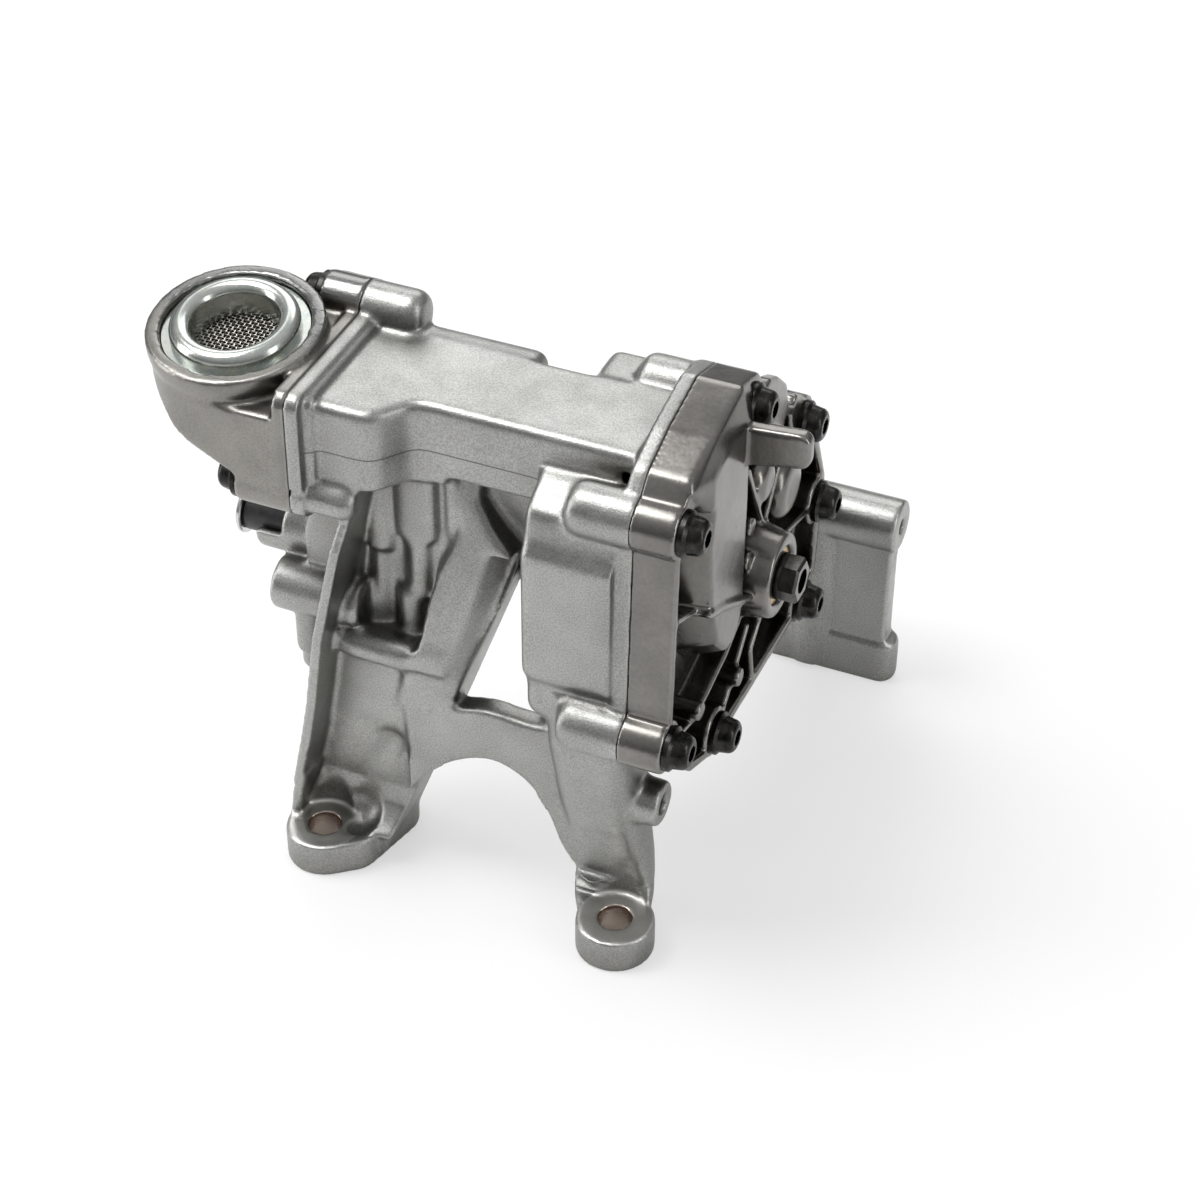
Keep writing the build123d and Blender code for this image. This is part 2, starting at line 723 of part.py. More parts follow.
# Main casting
with BuildPart() as housing:
    add(left_leg.part)
    add(leg_panel.part, mode=Mode.SUBTRACT)
    add(leg_pocket.part, mode=Mode.SUBTRACT)
    add(pocket_posts.part)
    add(leg_fin.part)
    add(left_pad.part)
    add(leg_gouge.part, mode=Mode.SUBTRACT)
    add(valve_wall.part)
    add(valve_barrel.part)
    add(spill_column.part)
    add(seat_tab.part)
    add(leg_web.part)
    add(front_leg.part)
    add(front_pad.part)
    add(hole_boss.part)
    add(bridge_wall.part)
    add(pump_body.part)
    add(side_wall.part)
    add(screw_bosses.part)
    add(duct.part)
    add(duct_belly.part)
    add(duct_flange.part)
    add(flange_bosses.part)
    add(duct_ridge.part)
    add(bracket_arm.part)
    add(bracket_tube.part)
    add(bracket_wall.part)
    add(bracket_bar.part)

    # Spot faces of the two front feet, cut into the legs above them, and their bores
    for spot in (front_foot, left_foot):
        with BuildSketch(Plane.XY.offset(pad_top_z)):
            with Locations(spot):
                Circle(spot_face_radius)
        extrude(amount=spot_face_height, taper=4, mode=Mode.SUBTRACT)
        with BuildSketch(Plane.XY.offset(pad_top_z)):
            with Locations(spot):
                Circle(foot_bore_radius)
        extrude(amount=-pad_thickness, mode=Mode.SUBTRACT)

    # Rotor pocket and the rear journal's bore
    with BuildSketch(Plane.YZ.offset(joint_x)):
        with Locations((0, -rotor_offset)):
            Circle(ring_radius + running_gap)
    extrude(amount=rotor_back_x - joint_x, mode=Mode.SUBTRACT)
    with BuildSketch(Plane.YZ.offset(rotor_back_x)):
        Circle(rear_journal_radius + bush_wall + press_gap)
    extrude(amount=rear_bore_end_x - rotor_back_x, mode=Mode.SUBTRACT)

    # Inlet and outlet ports behind the rotors
    with BuildSketch(Plane.YZ.offset(rotor_back_x)):
        add(port_sketch(-1))
        add(port_sketch(1))
    extrude(amount=-port_depth, mode=Mode.SUBTRACT)

    # Suction way: the duct's hollow, and the gallery in the joint face
    with BuildSketch(Plane.XY.offset(duct_narrow_bottom_z + duct_wall)):
        with Locations(((left_flange_x + duct_end_x) / 2, (duct_narrow_front_y + duct_back_y) / 2)):
            Rectangle(duct_end_x - left_flange_x, duct_back_y - duct_narrow_front_y - 2 * duct_wall)
    extrude(amount=duct_top_z - duct_narrow_bottom_z - 2 * duct_wall, mode=Mode.SUBTRACT)
    with BuildSketch(Plane.XY.offset(duct_bottom_z + duct_wall)):
        add(duct_plan(duct_wall, shoulder_x + shoulder_length + 8))
    extrude(amount=duct_top_z - duct_bottom_z - 2 * duct_wall, mode=Mode.SUBTRACT)
    with BuildSketch(Plane.YZ.offset(left_flange_x)):
        add(mouth_sketch(0))
    extrude(amount=8, mode=Mode.SUBTRACT)
    with BuildSketch(Plane.YZ.offset(left_flange_x)):
        add(mouth_sketch(seal_wall))
    extrude(amount=seal_depth, mode=Mode.SUBTRACT)
    with BuildSketch(Plane.YZ.offset(joint_x)):
        add(suction_sketch(0))
    extrude(amount=-suction_depth, mode=Mode.SUBTRACT)

    # Delivery way: from the outlet port to the bracket's foot
    with BuildSketch(Plane.XY.offset(bracket_tube_z)):
        with Locations((delivery_bore_x, delivery_start_y)):
            Circle(delivery_radius - 1)
    extrude(amount=-12 - bracket_tube_z, mode=Mode.SUBTRACT)
    with BuildSketch(Plane.XZ.offset(-delivery_start_y + 7)):
        with Locations((delivery_bore_x, bracket_tube_z)):
            Circle(delivery_radius)
    extrude(amount=delivery_start_y - 7 - bracket_y, mode=Mode.SUBTRACT)
    with BuildSketch(Plane.XY.offset(ground_z)):
        with Locations(delivery_spot):
            Circle(delivery_radius)
    extrude(amount=bracket_tube_z + 2 - ground_z, mode=Mode.SUBTRACT)

    # Relief valve: bore, seat, feed from the outlet port and spill up to the duct
    with BuildSketch(Plane.YZ.offset(valve_mouth_x)):
        with Locations((valve_y, valve_z)):
            Circle(valve_bore_radius)
    extrude(amount=valve_end_x + 4 - valve_mouth_x, mode=Mode.SUBTRACT)
    with BuildSketch(Plane.YZ.offset(valve_end_x)):
        with Locations((feed_y, feed_z)):
            Circle(feed_radius)
    extrude(amount=rotor_back_x - port_depth - 3 - valve_end_x, mode=Mode.SUBTRACT)
    with BuildSketch(Plane.XZ.offset(-26)):
        with Locations((rotor_back_x - port_depth - 3, feed_z + 1)):
            Circle(2.5)
    extrude(amount=26 - feed_y, mode=Mode.SUBTRACT)
    with BuildSketch(Plane.YZ.offset(rotor_back_x - port_depth - 3)):
        with Locations((24, feed_z + 1)):
            Circle(2.5)
    extrude(amount=5, mode=Mode.SUBTRACT)
    with BuildSketch(Plane.XY.offset(valve_z)):
        with Locations((spill_x, valve_y)):
            Circle(spill_radius)
    extrude(amount=duct_bottom_z + duct_wall + 2 - valve_z, mode=Mode.SUBTRACT)

    # Gallery bore, closed by a plug
    with BuildSketch(Plane.YZ.offset(gallery_face_x)):
        with Locations((gallery_y, gallery_z)):
            Circle(gallery_bore_radius)
    extrude(amount=gallery_bore_depth, mode=Mode.SUBTRACT)

    # Tapped holes for the cover's screws, with two sleeves' counterbores
    with BuildSketch(Plane.YZ.offset(joint_x)):
        with Locations(*cover_screw_spots):
            Circle(screw_radius + press_gap)
    extrude(amount=-tapped_depth, mode=Mode.SUBTRACT)
    with BuildSketch(Plane.YZ.offset(joint_x)):
        with Locations(*dowelled):
            Circle(dowel_sleeve_outer + press_gap)
    extrude(amount=-sleeve_depth, mode=Mode.SUBTRACT)

    # Tapped holes for the pickup's screws, and its seal's groove
    with BuildSketch(Plane.YZ.offset(left_flange_x)):
        with Locations(*pickup_screw_spots):
            Circle(screw_radius + press_gap)
    extrude(amount=flange_boss_length - 4, mode=Mode.SUBTRACT)

    # Threaded hole of the side boss
    with BuildSketch(Plane.YZ.offset(side_hole_face_x)):
        with Locations((side_hole_y, side_hole_z)):
            Circle(side_hole_radius)
    extrude(amount=-side_hole_depth, mode=Mode.SUBTRACT)

    # Centre hole in the end of the bracket's tube
    with BuildSketch(Plane.YZ.offset(bracket_end_x)):
        with Locations((bracket_y, bracket_tube_z)):
            Circle(tube_centre_radius)
    extrude(amount=-tube_centre_depth, mode=Mode.SUBTRACT)

    # Rear foot's dowel hole
    with BuildSketch(Plane.XY.offset(ground_z)):
        with Locations((dowel_x, bracket_y)):
            Circle(dowel_radius + press_gap)
    extrude(amount=dowel_length + 2, mode=Mode.SUBTRACT)

# Cover: floor, rim and screw bosses
hump_front_x = cover_front_x + 3.6
ridge_corners = [
    (-46.0, 66.5), (-20.5, 68.5), (-19.5, 40.0), (-20.5, 2.0), (-24.0, -6.0), (-33.0, -6.0), (-41.5, 3.0),
    (-47.0, 20.0), (-49.5, 44.0),
]
corner_rise = 0.8
corner_outline = [
    (-58.5, 68.0), (-41.8, 75.1), (-20.3, 79.0), (-12.5, 74.5), (-12.5, 56.0), (-50.0, 56.0),
]
corner_face = [
    (-48.0, 66.5), (-37.0, 69.3), (-21.8, 69.3), (-19.2, 67.0), (-19.6, 56.0), (-48.8, 56.0),
]


def ridge_sketch(inset):
    """The flat top of the ridge, moved inwards."""
    with BuildSketch() as sketch:
        with BuildLine():
            Polyline(*ridge_corners, close=True)
        make_face()
        offset(amount=-inset)
    return sketch.sketch


def rib_sketch(width, *paths):
    """Thin ribs along the given paths."""
    with BuildSketch() as sketch:
        for path in paths:
            with BuildLine():
                Polyline(*path)
            trace(line_width=width)
    return sketch.sketch


with BuildPart() as cover_plate:
    with BuildSketch(Plane.YZ.offset(joint_x)):
        add(joint_sketch())
    extrude(amount=cover_floor)
    with BuildSketch(Plane.YZ.offset(joint_x)):
        add(joint_sketch())
        add(plate_sketch(-rim_wall), mode=Mode.SUBTRACT)
    extrude(amount=cover_depth)
    with BuildSketch(Plane.YZ.offset(joint_x)):
        with Locations(*cover_screw_spots):
            Circle(screw_boss_radius)
    extrude(amount=cover_depth)

# Top corner of the cover, where the suction gallery enters, with a wide bevel
with BuildPart() as hump_corner:
    with BuildSketch(Plane.YZ.offset(joint_x)):
        with BuildLine():
            Polyline(*corner_outline, close=True)
        make_face()
    extrude(amount=cover_depth + corner_rise)
    with BuildSketch(Plane.YZ.offset(cover_front_x + corner_rise)):
        with BuildLine():
            Polyline(*corner_outline, close=True)
        make_face()
    with BuildSketch(Plane.YZ.offset(hump_front_x)):
        with BuildLine():
            Polyline(*corner_face, close=True)
        make_face()
    loft(ruled=True)

# Broad ridge over the suction gallery, with a bevelled top
with BuildPart() as hump_ridge:
    with BuildSketch(Plane.YZ.offset(hump_front_x)) as ridge_face:
        with BuildLine():
            Polyline(*ridge_corners, close=True)
        make_face()
        fillet(ridge_face.vertices(), 4)
    extrude(amount=joint_x - hump_front_x, taper=-22)
    with BuildSketch(Plane.YZ.offset(joint_x)):
        add(plate_sketch(-0.6))
    extrude(amount=hump_front_x - joint_x, mode=Mode.INTERSECT)
    fillet(hump_ridge.faces().sort_by(Axis.X)[-1].edges(), 1.2)

with BuildPart() as shaft_boss:
    with BuildSketch(Plane.YZ.offset(joint_x)):
        Circle(shaft_boss_root)
    with BuildSketch(Plane.YZ.offset(boss_face_x)):
        Circle(shaft_boss_radius)
    loft()
    fillet(shaft_boss.edges().group_by(Axis.X)[-1], 1)

with BuildPart() as cover_ribs:
    with BuildSketch(Plane.YZ.offset(joint_x)):
        add(rib_sketch(
            rib_width,
            [(-66.0, 27.2), (-37.5, 14.4)],
            [(-10, -12.0), (-21.6, -17.4), (-37.9, -21.2), (-50.0, -22.0), (-66.0, -18.0)],
            [(-2.0, -20.0), (-11.9, -30.0), (-20.5, -38.1), (-28.0, -42.0)],
            [(8.7, -8.0), (8.7, -26.4), (1.5, -33.0), (4.5, -48.0)],
            [(-8.0, 42.0), (8.0, 10.0)],
            [(0, 0), (22.0, 28.0), (38.0, 30.0)],
            [(0, 0), (50.0, -13.0)],
            [(0, 0), (42.0, -42.0)],
        ))
    extrude(amount=cover_depth - 0.2)
    with BuildSketch(Plane.YZ.offset(joint_x)):
        add(rib_sketch(rib_width, [(-50.0, 20.0), (-37.5, 14.4), (0, -8.0)]))
    extrude(amount=hump_front_x + 1.2 - joint_x)

with BuildPart() as cover_domes:
    with BuildSketch(Plane.YZ.offset(joint_x)):
        with Locations((29.7, 10.5)):
            Circle(11)
        with Locations((7.6, 27.3)):
            Circle(8)
    extrude(amount=cover_depth + 1)
    fillet(cover_domes.edges().group_by(Axis.X)[-1], 5)
    with BuildSketch(Plane.YZ.offset(joint_x)):
        with Locations((-9.4, 22.7), (-10.6, 10.8), (-14.3, -31.3), (-47.8, -18.5)):
            Circle(3)
    extrude(amount=cover_depth + 2)

# Arm that stands out from the cover, along the shaft
arm_end_x = cover_front_x + arm_length
with BuildPart() as cover_arm:
    with BuildSketch(Plane.XZ.offset(21.3 + arm_thickness / 2)):
        with BuildLine():
            Polyline(
                (cover_front_x - 6, 52.0), (cover_front_x + 5, 55.5), (arm_end_x, 58.8),
                (arm_end_x, 70.2), (cover_front_x + 3, 68.5), (cover_front_x - 6, 69.0), close=True,
            )
        make_face()
    extrude(amount=-arm_thickness)
    fillet(cover_arm.faces().sort_by(Axis.X)[-1].edges().filter_by(Axis.Y), 3)
    fillet(cover_arm.faces().filter_by(Axis.Y).edges(), 1.2)

# Thin tabs that stand up from the cover's slanting edge
with BuildPart() as cover_tabs:
    with BuildSketch(Plane.YZ.offset(cover_front_x - tab_thickness)) as sketch_tabs:
        with BuildLine():
            Polyline(
                (-2.0, 64.0), (6.0, 65.5), (14.0, 61.5), (22.0, 54.0), (24.5, 44.0), (20.0, 38.0),
                (6.0, 50.0), close=True,
            )
        make_face()
        with BuildLine():
            Polyline(
                (26.5, 38.0), (31.0, 44.5), (39.5, 38.5), (45.0, 30.5), (46.0, 21.0), (38.0, 20.0),
                (30.0, 28.0), close=True,
            )
        make_face()
        fillet(sketch_tabs.vertices(), 1.8)
    extrude(amount=tab_thickness)

with BuildPart() as pump_cover:
    add(cover_plate.part)
    add(hump_corner.part)
    add(hump_ridge.part)
    add(cover_ribs.part)
    add(cover_domes.part)
    add(shaft_boss.part)
    add(cover_arm.part)
    add(cover_tabs.part)

    # Suction gallery: shallow over its whole outline, deep behind the ridge
    with BuildSketch(Plane.YZ.offset(joint_x)):
        add(suction_sketch(0))
    extrude(amount=cover_floor / 2, mode=Mode.SUBTRACT)
    with BuildSketch(Plane.YZ.offset(joint_x)):
        add(ridge_sketch(hump_wall))
    extrude(amount=hump_front_x - hump_wall - joint_x, mode=Mode.SUBTRACT)

    # Front journal's bore, collar recess
    with BuildSketch(Plane.YZ.offset(joint_x)):
        Circle(front_journal_radius + bush_wall + press_gap)
    extrude(amount=boss_face_x - joint_x, mode=Mode.SUBTRACT)
    with BuildSketch(Plane.YZ.offset(boss_face_x)):
        Circle(collar_recess_radius)
    extrude(amount=-collar_recess_depth, mode=Mode.SUBTRACT)

    # Screw holes and the sleeves' counterbores
    with BuildSketch(Plane.YZ.offset(joint_x)):
        with Locations(*cover_screw_spots):
            Circle(screw_radius + screw_gap)
    extrude(amount=cover_depth, mode=Mode.SUBTRACT)
    with BuildSketch(Plane.YZ.offset(joint_x)):
        with Locations(*dowelled):
            Circle(dowel_sleeve_outer + press_gap)
    extrude(amount=sleeve_depth, mode=Mode.SUBTRACT)

    # Room for each screw's flange
    with BuildSketch(Plane.YZ.offset(cover_front_x)):
        with Locations(*cover_screw_spots):
            Circle(screw_flange_radius + 0.4)
    extrude(amount=20, mode=Mode.SUBTRACT)

# Drive shaft with its hexagonal end
key_x = rotor_back_x + side_gap + rotor_width / 2
with BuildPart() as drive_shaft:
    with BuildSketch(Plane.XZ):
        with BuildLine():
            Polyline(
                (rear_journal_end_x, 0), (rear_journal_end_x, rear_journal_radius),
                (rotor_back_x + side_gap, rear_journal_radius), (rotor_back_x + side_gap, rotor_seat_radius),
                (joint_x - side_gap, rotor_seat_radius), (joint_x - side_gap, front_journal_radius),
                (boss_face_x - collar_recess_depth, front_journal_radius),
                (boss_face_x - collar_recess_depth, collar_radius), (-hex_length, collar_radius),
                (-hex_length, 0), close=True,
            )
        make_face()
    revolve(axis=Axis.X)
    with BuildSketch(Plane.YZ.offset(-hex_length)):
        RegularPolygon(hex_flats / 2, 6, major_radius=False)
    extrude(amount=hex_length)
    chamfer(drive_shaft.faces().sort_by(Axis.X)[-1].edges(), hex_chamfer)
    with BuildSketch(Plane.YZ):
        Circle(shaft_bore_radius)
    extrude(amount=-shaft_bore_depth, mode=Mode.SUBTRACT)
    with BuildSketch(Plane.XY.offset(rotor_seat_radius - key_height / 2)):
        with Locations((key_x, 0)):
            Rectangle(key_length + 2 * press_gap, key_width + 2 * press_gap)
    extrude(amount=key_height, mode=Mode.SUBTRACT)

with BuildPart() as shaft_key:
    with BuildSketch(Plane.XY.offset(rotor_seat_radius - key_height / 2 + press_gap)):
        with Locations((key_x, 0)):
            Rectangle(key_length, key_width)
    extrude(amount=key_height - press_gap)

# Inner rotor, keyed to the shaft
with BuildPart() as inner_rotor:
    with BuildSketch(rotor_plane):
        add(rotor_face(tooth_gap))
        Circle(rotor_seat_radius + press_gap, mode=Mode.SUBTRACT)
        with Locations((-rotor_seat_radius, 0)):
            Rectangle(key_height + 2 * press_gap, key_width + 2 * press_gap, mode=Mode.SUBTRACT)
    extrude(amount=rotor_width)

# Outer rotor, which floats in the housing's pocket
with BuildPart() as outer_rotor:
    with BuildSketch(rotor_plane):
        with Locations((rotor_offset, 0)):
            Circle(ring_radius)
            Circle(lobe_circle - lobe_radius + 2 * rotor_offset + root_gap, mode=Mode.SUBTRACT)
            with PolarLocations(lobe_circle, outer_teeth):
                Circle(lobe_radius)
            Circle(ring_radius, mode=Mode.INTERSECT)
    extrude(amount=rotor_width)


def bush(start_x, end_x, journal_radius):
    """A plain bearing bush along the drive axis."""
    with BuildPart() as ring:
        with BuildSketch(Plane.YZ.offset(start_x)):
            Circle(journal_radius + bush_wall)
            Circle(journal_radius + running_gap, mode=Mode.SUBTRACT)
        extrude(amount=end_x - start_x)
    return ring.part


with BuildPart() as front_bush:
    add(bush(joint_x + 0.2, boss_face_x - collar_recess_depth, front_journal_radius))

with BuildPart() as rear_bush:
    add(bush(rear_bore_end_x + 0.4, rotor_back_x - 0.2, rear_journal_radius))

# Screws and sleeves of the cover
with BuildPart() as cover_screws:
    for spot in cover_screw_spots:
        with Locations(Plane(origin=(cover_front_x, *spot), z_dir=(1, 0, 0))):
            add(screw_solid(cover_depth + screw_grip))

with BuildPart() as cover_sleeves:
    with BuildSketch(Plane.YZ.offset(joint_x - sleeve_depth + 0.1)):
        with Locations(*dowelled):
            Circle(dowel_sleeve_outer)
            Circle(dowel_sleeve_inner, mode=Mode.SUBTRACT)
    extrude(amount=2 * sleeve_depth - 0.2)

# Dowel in the rear foot
with BuildPart() as foot_dowel:
    with BuildSketch(Plane.XY.offset(ground_z + 0.5)):
        with Locations((dowel_x, bracket_y)):
            Circle(dowel_radius)
    extrude(amount=dowel_length)
    chamfer(foot_dowel.edges(), 0.6)

# Relief valve: piston, spring and plug
piston_start_x = valve_end_x + 3.8
piston_back_x = piston_start_x - piston_length
stem_end_x = piston_back_x - 22
with BuildPart() as relief_piston:
    with BuildSketch(Plane.YZ.offset(piston_start_x)):
        with Locations((valve_y, valve_z)):
            Circle(valve_bore_radius - running_gap)
    extrude(amount=-piston_length)
    chamfer(relief_piston.edges().group_by(Axis.X)[-1], 1)
    with BuildSketch(Plane.YZ.offset(piston_back_x)):
        with Locations((valve_y, valve_z)):
            Circle(valve_bore_radius - piston_wall)
    extrude(amount=piston_length - 4, mode=Mode.SUBTRACT)

spring_start_x = stem_end_x + 0.1
spring_end_x = piston_start_x - 4.1
spring_radius = valve_bore_radius - piston_wall - spring_wire - 0.4
spring_span = spring_end_x - spring_start_x - 2 * spring_wire
with BuildPart() as relief_spring:
    with BuildLine() as coil:
        Helix(pitch=spring_span / spring_turns, height=spring_span, radius=spring_radius,
              center=(spring_start_x + spring_wire, valve_y, valve_z), direction=(1, 0, 0))
    with BuildSketch(Plane(origin=coil.line @ 0, z_dir=coil.line % 0)):
        Circle(spring_wire)
    sweep(is_frenet=True)

with BuildPart() as valve_stem:
    with BuildSketch(Plane.YZ.offset(stem_end_x)):
        with Locations((valve_y, valve_z)):
            Circle(valve_bore_radius - press_gap)
    extrude(amount=valve_mouth_x + 1 - stem_end_x)
    with BuildSketch(Plane.YZ.offset(stem_end_x - 6)):
        with Locations((valve_y, valve_z)):
            Circle(valve_bore_radius)
            Circle(valve_bore_radius - 1.5, mode=Mode.SUBTRACT)
    extrude(amount=-2.4, mode=Mode.SUBTRACT)
    with BuildSketch(Plane.YZ.offset(valve_mouth_x + 1)):
        with Locations((valve_y, valve_z)):
            Circle(plug_stem_radius)
    extrude(amount=cap_face_x + cap_thickness - valve_mouth_x - 1)

with BuildPart() as valve_seal:
    with BuildSketch(Plane(origin=(stem_end_x - 7.2, valve_y, valve_z), x_dir=(1, 0, 0), z_dir=(0, -1, 0))):
        with Locations((0, valve_bore_radius - 0.75)):
            Circle(0.7)
    revolve(axis=Axis((stem_end_x - 7.2, valve_y, valve_z), (1, 0, 0)))

with BuildPart() as valve_collar:
    with BuildSketch(Plane.YZ.offset(valve_mouth_x - 0.1)):
        with Locations((valve_y, valve_z)):
            Circle(collar_outer_radius)
            Circle(plug_stem_radius + press_gap, mode=Mode.SUBTRACT)
    extrude(amount=cap_face_x + cap_thickness + 0.1 - valve_mouth_x)
    chamfer(valve_collar.edges().group_by(Axis.X)[0], 0.6)

with BuildPart() as valve_cap:
    with BuildSketch(Plane.YZ.offset(cap_face_x)):
        with Locations((valve_y, valve_z)):
            Circle(cap_radius)
    extrude(amount=cap_thickness - joint_gap)
    chamfer(valve_cap.edges(), 0.4)
    with BuildSketch(Plane.YZ.offset(cap_face_x)):
        with Locations((valve_y, valve_z)):
            RegularPolygon(3, 6)
    extrude(amount=cap_thickness, mode=Mode.SUBTRACT)

# Plug of the gallery bore
with BuildPart() as gallery_plug:
    with BuildSketch(Plane.YZ.offset(gallery_face_x + 1)):
        with Locations((gallery_y, gallery_z)):
            Circle(gallery_bore_radius - press_gap)
    extrude(amount=8)
    with BuildSketch(Plane.YZ.offset(gallery_face_x + 1)):
        with Locations((gallery_y, gallery_z)):
            Circle(3.2)
    extrude(amount=4.5, mode=Mode.SUBTRACT)

# Pickup: a body that turns the suction way up to the strainer's ring
ring_centre = (ring_x, -44.5, 77.0)
ring_plane = Plane(origin=ring_centre, x_dir=(1, 0, 0), z_dir=(-0.01, -0.15, 0.99))
pickup_face_x = left_flange_x - joint_gap
pickup_flange = 4.0

# Flat lug that stands on the pickup's flange behind the ring, as (x, z)
pickup_lug_thickness = 6.0
pickup_lug = [
    (pickup_face_x, 62.0), (pickup_face_x, 75.5), (pickup_face_x - 13, 76.0), (pickup_face_x - 20, 73.0),
    (pickup_face_x - 20, 66.0), (pickup_face_x - 10, 60.0),
]


def pickup_plan(ring_radius_here, front_y, back_y):
    """Plan of the pickup: the ring's circle drawn together with the flange's width."""
    with BuildSketch() as sketch:
        with Locations((ring_centre[0], ring_centre[1])):
            Circle(ring_radius_here)
        with Locations((pickup_face_x - 2, (front_y + back_y) / 2)):
            Rectangle(4, back_y - front_y)
        make_hull()
    return sketch.sketch


def pickup_side(inset):
    """Side outline of the pickup, deep at the flange and rising to the ring like a keel."""
    with BuildSketch() as sketch:
        with BuildLine():
            Polyline(
                (pickup_face_x, 90.0), (pickup_face_x, 40.0 + inset), (pickup_face_x - 16, 40.5 + inset),
                (ring_x - 10, 52.0 + inset), (ring_x - 21 + inset, 64.0 + inset),
                (ring_x - 26 + inset, 90.0), close=True,
            )
        make_face()
        fillet(sketch.vertices().group_by(Axis.Y)[1:3], 6)
    return sketch.sketch


with BuildPart() as pickup_shell:
    with BuildSketch(Plane.XY.offset(38)):
        add(pickup_plan(ring_outer_radius - 1.6, flange_front_y + 0.3, flange_back_y - 3))
    extrude(amount=50)
    with BuildSketch(Plane.XZ.offset(100)):
        add(pickup_side(0))
    extrude(amount=-100, mode=Mode.INTERSECT)
    split(bisect_by=ring_plane.offset(-8), keep=Keep.BOTTOM)
    with BuildSketch(ring_plane.offset(-ring_band)):
        Circle(ring_outer_radius - 1.5)
    with BuildSketch(ring_plane.offset(-ring_rise)):
        Circle(ring_outer_radius)
    loft()
    with BuildSketch(ring_plane.offset(-ring_rise)):
        Circle(ring_outer_radius)
    extrude(amount=ring_rise)
    ring_edges = pickup_shell.edges().filter_by_position(Axis.Z, 72, 84).filter_by(GeomType.CIRCLE)
    chamfer(ring_edges.group_by(Axis.Z)[-1], 0.6)

# Bowl under the ring, and the way from it into the duct
throat_floor_z = duct_bottom_z + duct_wall
throat_top_z = duct_top_z - duct_wall
with BuildPart() as pickup_bowl:
    with BuildSketch(Plane.XY.offset(throat_floor_z)):
        add(pickup_plan(pickup_throat_radius + 1.5, duct_front_y + duct_wall, duct_back_y - duct_wall))
    extrude(amount=throat_top_z - throat_floor_z)
    with BuildSketch(Plane.XZ.offset(100)):
        add(pickup_side(duct_wall))
    extrude(amount=-100, mode=Mode.INTERSECT)
    split(bisect_by=ring_plane.offset(-screen_depth - 3), keep=Keep.BOTTOM)

# The pickup's flange, bowl and strainer seat
with BuildPart() as pickup_body:
    add(pickup_shell.part)
    with BuildSketch(Plane.YZ.offset(pickup_face_x)):
        add(flange_sketch())
    extrude(amount=-pickup_flange)
    for spot, length in zip(pickup_screw_spots, pickup_boss_lengths):
        with BuildSketch(Plane.YZ.offset(pickup_face_x)):
            with Locations(spot):
                Circle(flange_boss_radius)
        extrude(amount=-length)
    with BuildSketch(Plane.XZ.offset(4)):
        with BuildLine():
            Polyline(*pickup_lug, close=True)
        make_face()
    extrude(amount=pickup_lug_thickness)

    add(pickup_bowl.part, mode=Mode.SUBTRACT)
    with BuildSketch(ring_plane):
        Circle(pickup_throat_radius)
    extrude(amount=-screen_depth - 6, mode=Mode.SUBTRACT)

    # Steps inside the ring: the machined rim, the sleeve's seat and the strainer's seat
    with BuildSketch(ring_plane):
        Circle(ring_rim_radius)
    extrude(amount=-rim_recess, mode=Mode.SUBTRACT)

    # Holes for the pickup's screws, and room for their heads
    for spot, length in zip(pickup_screw_spots, pickup_boss_lengths):
        with BuildSketch(Plane.YZ.offset(pickup_face_x)):
            with Locations(spot):
                Circle(screw_radius + screw_gap)
        extrude(amount=-length, mode=Mode.SUBTRACT)
        with BuildSketch(Plane.YZ.offset(pickup_face_x - length)):
            with Locations(spot):
                Circle(screw_flange_radius + 0.6)
        extrude(amount=-12, mode=Mode.SUBTRACT)

with BuildPart() as pickup_screws:
    for spot, length in zip(pickup_screw_spots, pickup_boss_lengths):
        with Locations(Plane(origin=(pickup_face_x - length, *spot), z_dir=(-1, 0, 0))):
            add(screw_solid(length + 13))

# Seal between the pickup and the duct
with BuildPart() as pickup_seal:
    with BuildSketch(Plane.YZ.offset(left_flange_x + 0.1)):
        add(mouth_sketch(seal_wall))
        add(mouth_sketch(0.0), mode=Mode.SUBTRACT)
    extrude(amount=seal_depth - 0.2)

# Steel sleeve with its rolled lip, and the screen held below it
with BuildPart() as strainer_sleeve:
    with BuildSketch(Plane(origin=ring_plane.origin, x_dir=ring_plane.x_dir, z_dir=-ring_plane.y_dir)):
        with BuildLine():
            Polyline(
                (sleeve_radius, 0.1 - rim_recess), (sleeve_radius, sleeve_sheet - rim_recess),
                (lip_outer_radius, sleeve_sheet - rim_recess), (lip_outer_radius, 0),
            )
            ThreePointArc((lip_outer_radius, 0), ((lip_outer_radius + sleeve_bore_radius) / 2, lip_height),
                          (sleeve_bore_radius, 0))
            Polyline(
                (sleeve_bore_radius, 0), (sleeve_bore_radius, -screen_depth),
                (sleeve_bore_radius + sleeve_sheet, -screen_depth), (sleeve_bore_radius + sleeve_sheet, 0),
            )
            ThreePointArc((sleeve_bore_radius + sleeve_sheet, 0),
                          ((lip_outer_radius + sleeve_bore_radius) / 2, lip_height - sleeve_sheet),
                          (lip_outer_radius - sleeve_sheet, 0))
            Polyline(
                (lip_outer_radius - sleeve_sheet, 0), (lip_outer_radius - sleeve_sheet, 0.1 - rim_recess),
                (sleeve_radius, 0.1 - rim_recess),
            )
        make_face()
    revolve(axis=Axis(ring_plane.origin, ring_plane.z_dir))

